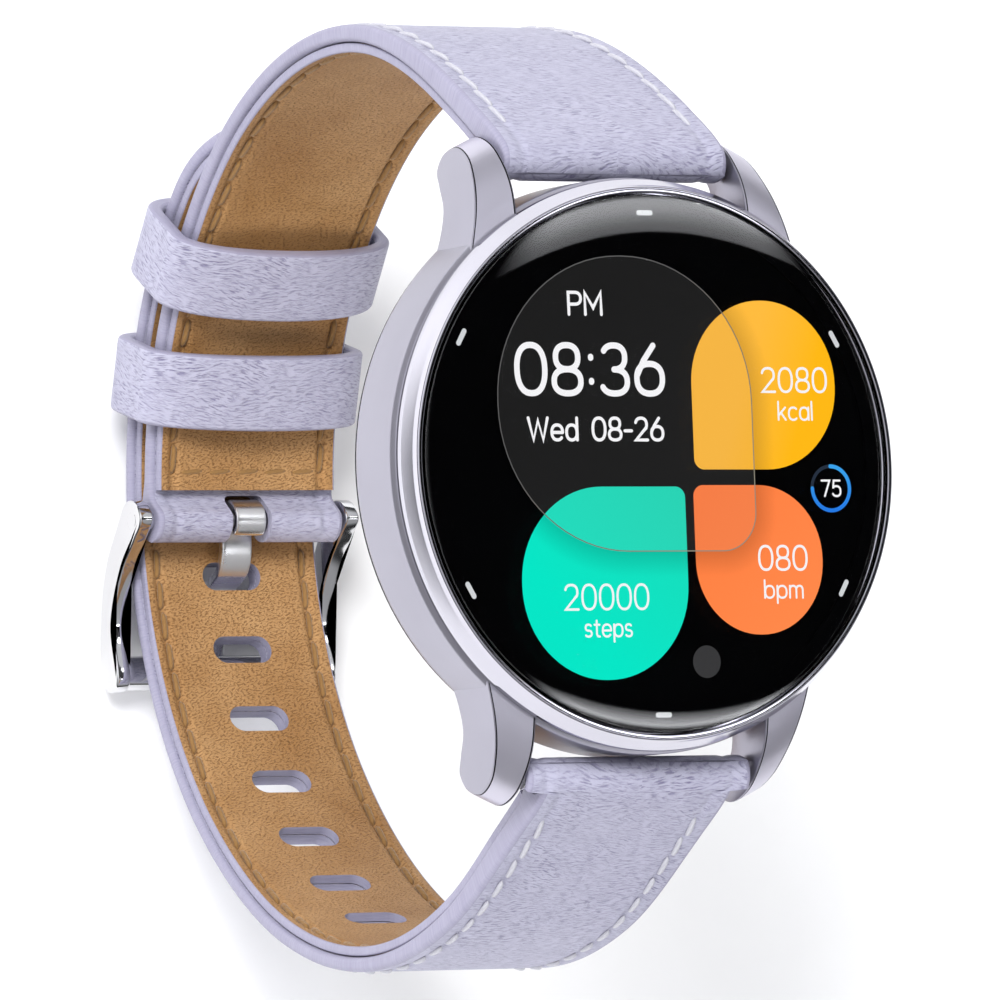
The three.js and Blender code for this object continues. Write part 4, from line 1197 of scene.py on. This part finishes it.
ROUND = (0, 360)
GLYPHS = {    # strokes on a cell one unit high, ("arc", x, y, rx, ry, from, to) or a list of points; then width
    "0": ([("arc", 0.31, 0.5, 0.31, 0.5, *ROUND)], 0.62),
    "2": ([("arc", 0.29, 0.71, 0.28, 0.29, 165, -38), [(0.51, 0.53), (0.02, 0), (0.6, 0)]], 0.6),
    "3": ([("arc", 0.28, 0.75, 0.25, 0.25, 150, -90), ("arc", 0.28, 0.25, 0.29, 0.25, 90, -155)], 0.58),
    "5": ([[(0.53, 1), (0.1, 1), (0.05, 0.54)], ("arc", 0.28, 0.32, 0.29, 0.32, 135, -150)], 0.58),
    "6": ([("arc", 0.3, 0.31, 0.29, 0.31, *ROUND), [(0.03, 0.4), (0.17, 0.68), (0.4, 1)]], 0.6),
    "7": ([[(0, 1), (0.56, 1), (0.2, 0)]], 0.56),
    "8": ([("arc", 0.3, 0.75, 0.25, 0.25, *ROUND), ("arc", 0.3, 0.25, 0.3, 0.25, *ROUND)], 0.6),
    "P": ([[(0, 0), (0, 1), (0.3, 1)], ("arc", 0.3, 0.73, 0.28, 0.27, 90, -90),
           [(0.3, 0.46), (0, 0.46)]], 0.58),
    "M": ([[(0, 0), (0, 1), (0.38, 0.3), (0.76, 1), (0.76, 0)]], 0.76),
    "W": ([[(0, 1), (0.24, 0), (0.48, 0.9), (0.72, 0), (0.96, 1)]], 0.96),
    "e": ([("arc", 0.27, 0.34, 0.27, 0.34, 0, 318), [(0.01, 0.34), (0.53, 0.34)]], 0.54),
    "d": ([("arc", 0.26, 0.34, 0.26, 0.34, *ROUND), [(0.53, 0), (0.53, 1)]], 0.53),
    "b": ([("arc", 0.28, 0.34, 0.26, 0.34, *ROUND), [(0, 0), (0, 1)]], 0.54),
    "p": ([("arc", 0.28, 0.34, 0.26, 0.34, *ROUND), [(0, -0.3), (0, 0.68)]], 0.54),
    "k": ([[(0, 0), (0, 1)], [(0.42, 0.68), (0.01, 0.24)], [(0.15, 0.4), (0.44, 0)]], 0.44),
    "c": ([("arc", 0.27, 0.34, 0.27, 0.34, 48, 312)], 0.48),
    "a": ([("arc", 0.26, 0.34, 0.26, 0.34, *ROUND), [(0.53, 0), (0.53, 0.68)]], 0.53),
    "l": ([[(0, 0), (0, 1)]], 0.02),
    "s": ([("arc", 0.2, 0.51, 0.18, 0.17, 35, 270), ("arc", 0.2, 0.17, 0.2, 0.17, 90, -145)], 0.4),
    "t": ([[(0.14, 0.9), (0.14, 0.14), (0.2, 0.02), (0.32, 0)], [(0, 0.67), (0.32, 0.67)]], 0.32),
    "m": ([[(0, 0), (0, 0.68)], ("arc", 0.19, 0.44, 0.19, 0.24, 180, 0), [(0.38, 0.44), (0.38, 0)],
           ("arc", 0.57, 0.44, 0.19, 0.24, 180, 0), [(0.76, 0.44), (0.76, 0)]], 0.76),
    "-": ([[(0, 0.42), (0.34, 0.42)]], 0.34),
    ":": ([[(0.04, 0.24), (0.04, 0.26)], [(0.04, 0.74), (0.04, 0.76)]], 0.08),
    " ": ([], 0.4),
}


def stroke_outline(points, half):
    """The outline of a line of some width with round ends."""
    points = [np.array(p, float) for p in points]
    left, right = [], []
    for i, p in enumerate(points):
        before = points[i] - points[i - 1] if i else points[1] - points[0]
        after = points[i + 1] - points[i] if i + 1 < len(points) else before
        before, after = before / np.linalg.norm(before), after / np.linalg.norm(after)
        normal = np.array((-(before + after)[1], (before + after)[0]))
        normal /= np.linalg.norm(normal) or 1
        width = half / max(0.45, float(normal @ np.array((-before[1], before[0]))))
        left.append(p + normal * width)
        right.append(p - normal * width)
    start = points[0] - points[1]
    end = points[-1] - points[-2]

    def cap(centre, direction):
        base = math.atan2(direction[1], direction[0])
        return [centre + half * np.array((math.cos(base + t), math.sin(base + t)))
                for t in np.linspace(math.pi / 2, -math.pi / 2, 9)[1:-1]]

    return left + cap(points[-1], end) + right[::-1] + cap(points[0], start)


def arc_points(x, y, rx, ry, start, end, squareness=1.0):
    """Points on an ellipse's arc; squareness below 1 fills its corners out."""
    count = max(6, int(abs(end - start) / 9))
    made = []
    for t in np.radians(np.linspace(start, end, count + 1)):
        made.append((x + rx * math.copysign(abs(math.cos(t)) ** squareness, math.cos(t)),
                     y + ry * math.copysign(abs(math.sin(t)) ** squareness, math.sin(t))))
    return made


def text(name, words, centre, height, width, weight):
    """Generic figures and words on the screen, drawn as round-ended strokes."""
    gap = 0.2
    natural = sum(GLYPHS[c][1] for c in words) + gap * (len(words) - 1)
    stretch = width / (natural * height)
    outlines = []
    cursor = -natural / 2
    for character in words:
        strokes, advance = GLYPHS[character]
        for stroke in strokes:
            points = arc_points(*stroke[1:], squareness=0.86) if stroke[0] == "arc" else stroke
            placed = [((cursor + px) * height * stretch + centre[0], (py - 0.5) * height + centre[1])
                      for px, py in points]
            outlines.append(stroke_outline(placed, weight / 2))
        cursor += advance + gap
    mesh = fan_strips(name, outlines, SCREEN_Z + 0.16)
    add_object(f"screen_{name}", mesh, ["white"], "case")


def fan_strips(name, outlines, z):
    """Ribbons from stroke outlines: the two sides are joined by quads, so bends stay clean."""
    points, faces = [], []
    for outline in outlines:
        base = len(points)
        points += [(p[0] * MM, p[1] * MM, z * MM) for p in outline]
        count = len(outline)
        body = (count - 14) // 2
        right = [count - 8 - k for k in range(body)]
        for k in range(body - 1):
            faces.append((base + k, base + k + 1, base + right[k + 1], base + right[k]))
        faces.append(tuple(base + k for k in [*range(body - 1, body + 7), right[-1]]))
        faces.append(tuple(base + k for k in [*range(count - 8, count), 0]))
    mesh = bpy.data.meshes.new(name)
    mesh.from_pydata(points, [], faces)
    return mesh


def petal(centre, half, sharp_corner, small):
    """A round-cornered square whose corner at (sign x, sign y) is nearly sharp."""
    cx, cy = centre
    outline = []
    for start, sx, sy in ((0, 1, 1), (90, -1, 1), (180, -1, -1), (270, 1, -1)):
        radius = small if (sx, sy) == sharp_corner else half * PETAL_ROUNDNESS
        ox, oy = cx + sx * (half - radius), cy + sy * (half - radius)
        for k in range(19):
            a = math.radians(start + 90 * k / 18)
            outline.append((ox + radius * math.cos(a), oy + radius * math.sin(a)))
    return outline


def screen():
    """The lit dial: three petals, a translucent pane, generic figures and words, a charge ring and marks."""
    mat["yellow"] = lit("lit_yellow", [(0, (1.0, 0.5, 0.05)), (1, (1.0, 0.48, 0.008))],
                        1.12, (0.94, -0.34, 0), 6, 6, True)
    mat["teal"] = lit("lit_teal", [(0, (0.01, 0.72, 0.5)), (1, (0.002, 0.8, 0.57))],
                      1.1, (-0.7, -0.7, 0), 0, 14, True)
    mat["orange"] = lit("lit_orange", [(0, (1.0, 0.215, 0.055)), (1, (1.0, 0.25, 0.07))],
                        1.12, (0.7, -0.7, 0), 5, 14, True)
    mat["blue"] = lit("lit_blue", [(0, (0.02, 0.2, 0.85)), (1, (0.05, 0.42, 0.95))], 1.0, (0, 1, 0), -4, 4)
    mat["pane"] = tinted_pane("dark_pane", 0.15, 0.90)
    mat["outline"] = lit("lit_outline", [(0, (0.12, 0.12, 0.12)), (1, (0.3, 0.28, 0.22))],
                         1.0, (0.7, -0.7, 0), -8, 16)
    for name, colour in (("white", (0.9, 0.9, 0.92)), ("pale", (0.62, 0.64, 0.66)),
                         ("dim", (0.02, 0.03, 0.05)), ("grey", (0.04, 0.04, 0.042))):
        mat[name] = lit(f"lit_{name}", [(0, colour), (1, colour)])

    def patch(name, outline, material, level):
        mesh = bpy.data.meshes.new(name)
        z = (SCREEN_Z + level) * MM
        mesh.from_pydata([(x * MM, y * MM, z) for x, y in outline], [], [tuple(range(len(outline)))])
        add_object(f"screen_{name}", mesh, [material], "case")

    def lines(name, outlines, z, material):
        add_object(f"screen_{name}", fan_strips(name, outlines, z), [material], "case")

    for name, centre, half, sharp_corner in (("yellow", (10.61, 6.33), 6.8, (-1, -1)),
                                             ("teal", (-4.89, -9.54), 7.7, (1, 1)),
                                             ("orange", (9.6, -7.73), 6.0, (-1, 1))):
        patch(f"petal_{name}", petal(centre, half, sharp_corner, 0.9), name, 0.02)
    pane = petal(*PANE)
    patch("pane_time", pane, "pane", 0.06)
    points = [(x * MM, y * MM, (SCREEN_Z + 0.09) * MM) for x, y in [*pane, *inset(pane, 0.09)]]
    count = len(pane)
    mesh = bpy.data.meshes.new("pane_outline")
    mesh.from_pydata(points, [], [(k, (k + 1) % count, count + (k + 1) % count, count + k)
                                  for k in range(count)])
    add_object("screen_pane_outline", mesh, ["outline"], "case")

    for name, words, centre, height, width, weight in (
        ("time", "08:36", (-5.68, 7.53), 3.85, 13.5, 0.5),
        ("half_day", "PM", (-5.92, 12.8), 1.75, 3.0, 0.26),
        ("date", "Wed 08-26", (-5.35, 2.76), 1.75, 12.5, 0.26),
        ("energy_value", "2080", (13.45, 6.73), 1.9, 6.1, 0.21),
        ("energy_unit", "kcal", (13.45, 4.25), 1.45, 3.2, 0.17),
        ("steps_value", "20000", (-4.93, -10.66), 1.95, 7.7, 0.2),
        ("steps_unit", "steps", (-4.86, -13.1), 1.4, 4.3, 0.17),
        ("pulse_value", "080", (11.74, -7.6), 1.9, 4.5, 0.21),
        ("pulse_unit", "bpm", (11.72, -10.1), 1.4, 3.6, 0.17),
        ("battery_value", "75", BATTERY, 1.25, 1.8, 0.17),
    ):
        text(name, words, centre, height, width, weight)

    for name, half, start, end, material, level in (("battery_track", 0.14, 0, 359, "dim", 0.08),
                                                    ("battery_charge", 0.16, 90, -180, "blue", 0.12)):
        arc = arc_points(*BATTERY, 1.78, 1.78, start, end)
        lines(name, [stroke_outline(arc, half)], SCREEN_Z + level, material)
    patch("dot", [(4.3 + 1.3 * math.cos(t), -15.87 + 1.3 * math.sin(t))
                  for t in np.linspace(0, 2 * math.pi, 49)[:-1]], "grey", 0.03)
    marks = []
    for a in np.radians(np.arange(0, 360, 60)):
        middle = np.array((math.sin(a), math.cos(a))) * HOUR_MARK_RADIUS
        across = np.array((math.cos(a), -math.sin(a))) * 0.55
        marks.append(stroke_outline([middle - across, middle + across], 0.21))
    lines("hour_marks", marks, GLASS_LOW - 0.02, "pale")


# ------------------------------------------------------------------ finishes of the CAD nodes that stay

NODE_FINISH = {
    "glass_gasket": "rubber", "display_panel": "screen", "back_gasket": "rubber", "inner_frame": "plastic",
    "main_board": "board", "sensor_board": "board", "shield_can": "brushed", "display_flex": "film",
    "battery": "foil", "vibration_motor": "brushed", "button_seal": "rubber", "button_clip": "brushed",
    "button_switch": "plastic", "button_cap": "case", "mid_case": "case", "bezel_ring": "bezel",
    "cover_glass": "glass", "back_cover": "plastic", "sensor_window": "sensor_glass",
    "buckle_frame": "mirror", "buckle_bar": "mirror", "buckle_tang": "mirror",
}


def finish_nodes():
    """Gives every CAD node that stays its own finish."""
    for name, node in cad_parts.items():
        finish = NODE_FINISH.get(name)
        if finish is None:
            words = {"lining": "lining", "strap_leather": "leather", "keeper": "leather", "pin": "gold"}
            finish = next((use for word, use in words.items() if word in name), "brushed")
        node.data.materials.clear()
        node.data.materials.append(mat[finish])


# ------------------------------------------------------------------ camera, floor and light


def camera():
    """From in front of the dial and well to its left, with a long lens."""
    data = bpy.data.cameras.new("camera")
    data.lens, data.sensor_width = 450, 36
    eye = bpy.data.objects.new("camera", data)
    back = Vector((-0.510639, -0.061017, 0.857628))
    up = Vector((0.001557, 0.997411, 0.071889))
    right = up.cross(back).normalized()
    up = back.cross(right).normalized()
    eye.matrix_world = Matrix.Translation(Vector((-521.467, -63.483, 862.407)) * MM) @ Matrix(
        (right, up, back.normalized())).transposed().to_4x4()
    data.clip_start, data.clip_end = 0.05, 20
    bpy.context.scene.collection.objects.link(eye)
    bpy.context.scene.camera = eye


def area_light(name, place, size, power):
    """A soft box that lights the watch but isn't itself mirrored in its glass and metal."""
    data = bpy.data.lights.new(name, "AREA")
    data.shape, data.size, data.size_y, data.energy = "RECTANGLE", *size, power
    light = bpy.data.objects.new(name, data)
    light.location = place
    light.visible_glossy = False
    light.visible_transmission = False
    light.rotation_mode = "QUATERNION"
    light.rotation_quaternion = (Vector((0, 0, -0.01)) - light.location).to_track_quat("-Z", "Y")
    bpy.context.scene.collection.objects.link(light)


def world_light():
    """Soft light from all round, with a dark flag that the dial mirrors and a bright strip for its rim."""
    world = bpy.data.worlds.new("studio")
    world.use_nodes = True
    tree = world.node_tree

    def add(kind, inputs, out=0, **settings):
        node = tree.nodes.new("ShaderNode" + kind)
        for name, value in settings.items():
            setattr(node, name, value)
        for key, value in inputs.items():
            if isinstance(value, bpy.types.NodeSocket):
                tree.links.new(value, node.inputs[key])
            else:
                node.inputs[key].default_value = value
        return node.outputs[out]

    direction = add("TexCoord", {})

    def spot(towards, inner, outer, inside, outside):
        """A value that goes from inside to outside between two angles from a direction."""
        unit = Vector(towards).normalized()
        facing = add("VectorMath", {0: direction, 1: unit}, 1, operation="DOT_PRODUCT")
        return add("MapRange", {0: facing, 1: math.cos(math.radians(outer)), 2: math.cos(math.radians(inner)),
                                3: outside, 4: inside}, interpolation_type="SMOOTHSTEP")

    def step(value, start, end, low, high):
        return add("MapRange", {0: value, 1: start, 2: end, 3: low, 4: high}, interpolation_type="SMOOTHSTEP")

    def times(a, b, operation="MULTIPLY"):
        return add("Math", {0: a, 1: b}, operation=operation)

    x, y, z = (add("SeparateXYZ", {0: direction}, k) for k in range(3))
    # What the curved rim of the glass mirrors above and below is bright, what the rest mirrors is dark.
    aside = add("Math", {0: times(x, 0.52, "SUBTRACT")}, operation="ABSOLUTE")
    upper = times(step(y, 0.221, 0.227, 0, 1), step(y, 0.225, 0.29, 2.5, 8.0))
    lower = times(step(y, -0.14, -0.132, 1, 0), step(y, -0.17, -0.132, 10.0, 1.5))
    rim = times(times(upper, lower, "ADD"), step(aside, 0.09, 0.16, 1, 0))
    flag = times(step(y, -0.2, -0.17, 0, 1), step(y, 0.3, 0.33, 1, 0))
    flag = times(times(flag, step(aside, 0.25, 0.3, 1, 0)), step(z, 0.4, 0.5, 0, 1))
    clear = step(flag, 0, 1, 1, 0.01)
    horizon = times(step(z, 0.1, 0.45, 0.1, 1.0), step(z, -0.12, 0.0, 1, 0), "MAXIMUM")
    window = spot((-0.6, 0.45, 0.65), 14, 40, 0.6, 0.0)
    sky = times(spot((-0.3, 0.6, 0.75), 30, 95, 0.72, 0.4), window, "ADD")
    total = times(times(times(sky, horizon), clear), times(rim, flag), "ADD")
    background = tree.nodes["Background"]
    background.inputs[0].default_value = (0.95, 0.96, 1.0, 1)
    tree.links.new(total, background.inputs[1])
    bpy.context.scene.world = world


def studio():
    """A pale paper floor under the watch, the world's light and three soft boxes."""
    s = Shader("floor_paper", Roughness=0.9)
    s.set(Base_Color=s.mix(s.noise(s.place(), 300, 3), (0.93, 0.93, 0.93), (0.95, 0.95, 0.95)))
    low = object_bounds()[0].z / MM
    size = 1500
    mesh = bpy.data.meshes.new("floor")
    corners = [(x * size, y * size, low) for x, y in ((-1, -1), (1, -1), (1, 1), (-1, 1))]
    mesh.from_pydata([[c * MM for c in p] for p in corners], [], [(0, 1, 2, 3)])
    floor = bpy.data.objects.new("floor", mesh)
    mesh.materials.append(s.material)
    bpy.context.scene.collection.objects.link(floor)
    floor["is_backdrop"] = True

    world_light()
    bpy.context.scene.view_settings.view_transform = "Standard"

    area_light("key", (-0.55, 0.45, 0.75), (0.45, 0.45), 11)
    area_light("fill", (-0.7, -0.45, 0.3), (0.5, 0.4), 2.6)
    area_light("low", (0.3, -0.9, 0.5), (0.5, 0.5), 4.5)


finish_nodes()
mid_case()
bezel_and_glass()
back()
side_button()
straps()
stitches()
keepers()
buckle()
screen()
camera()
studio()
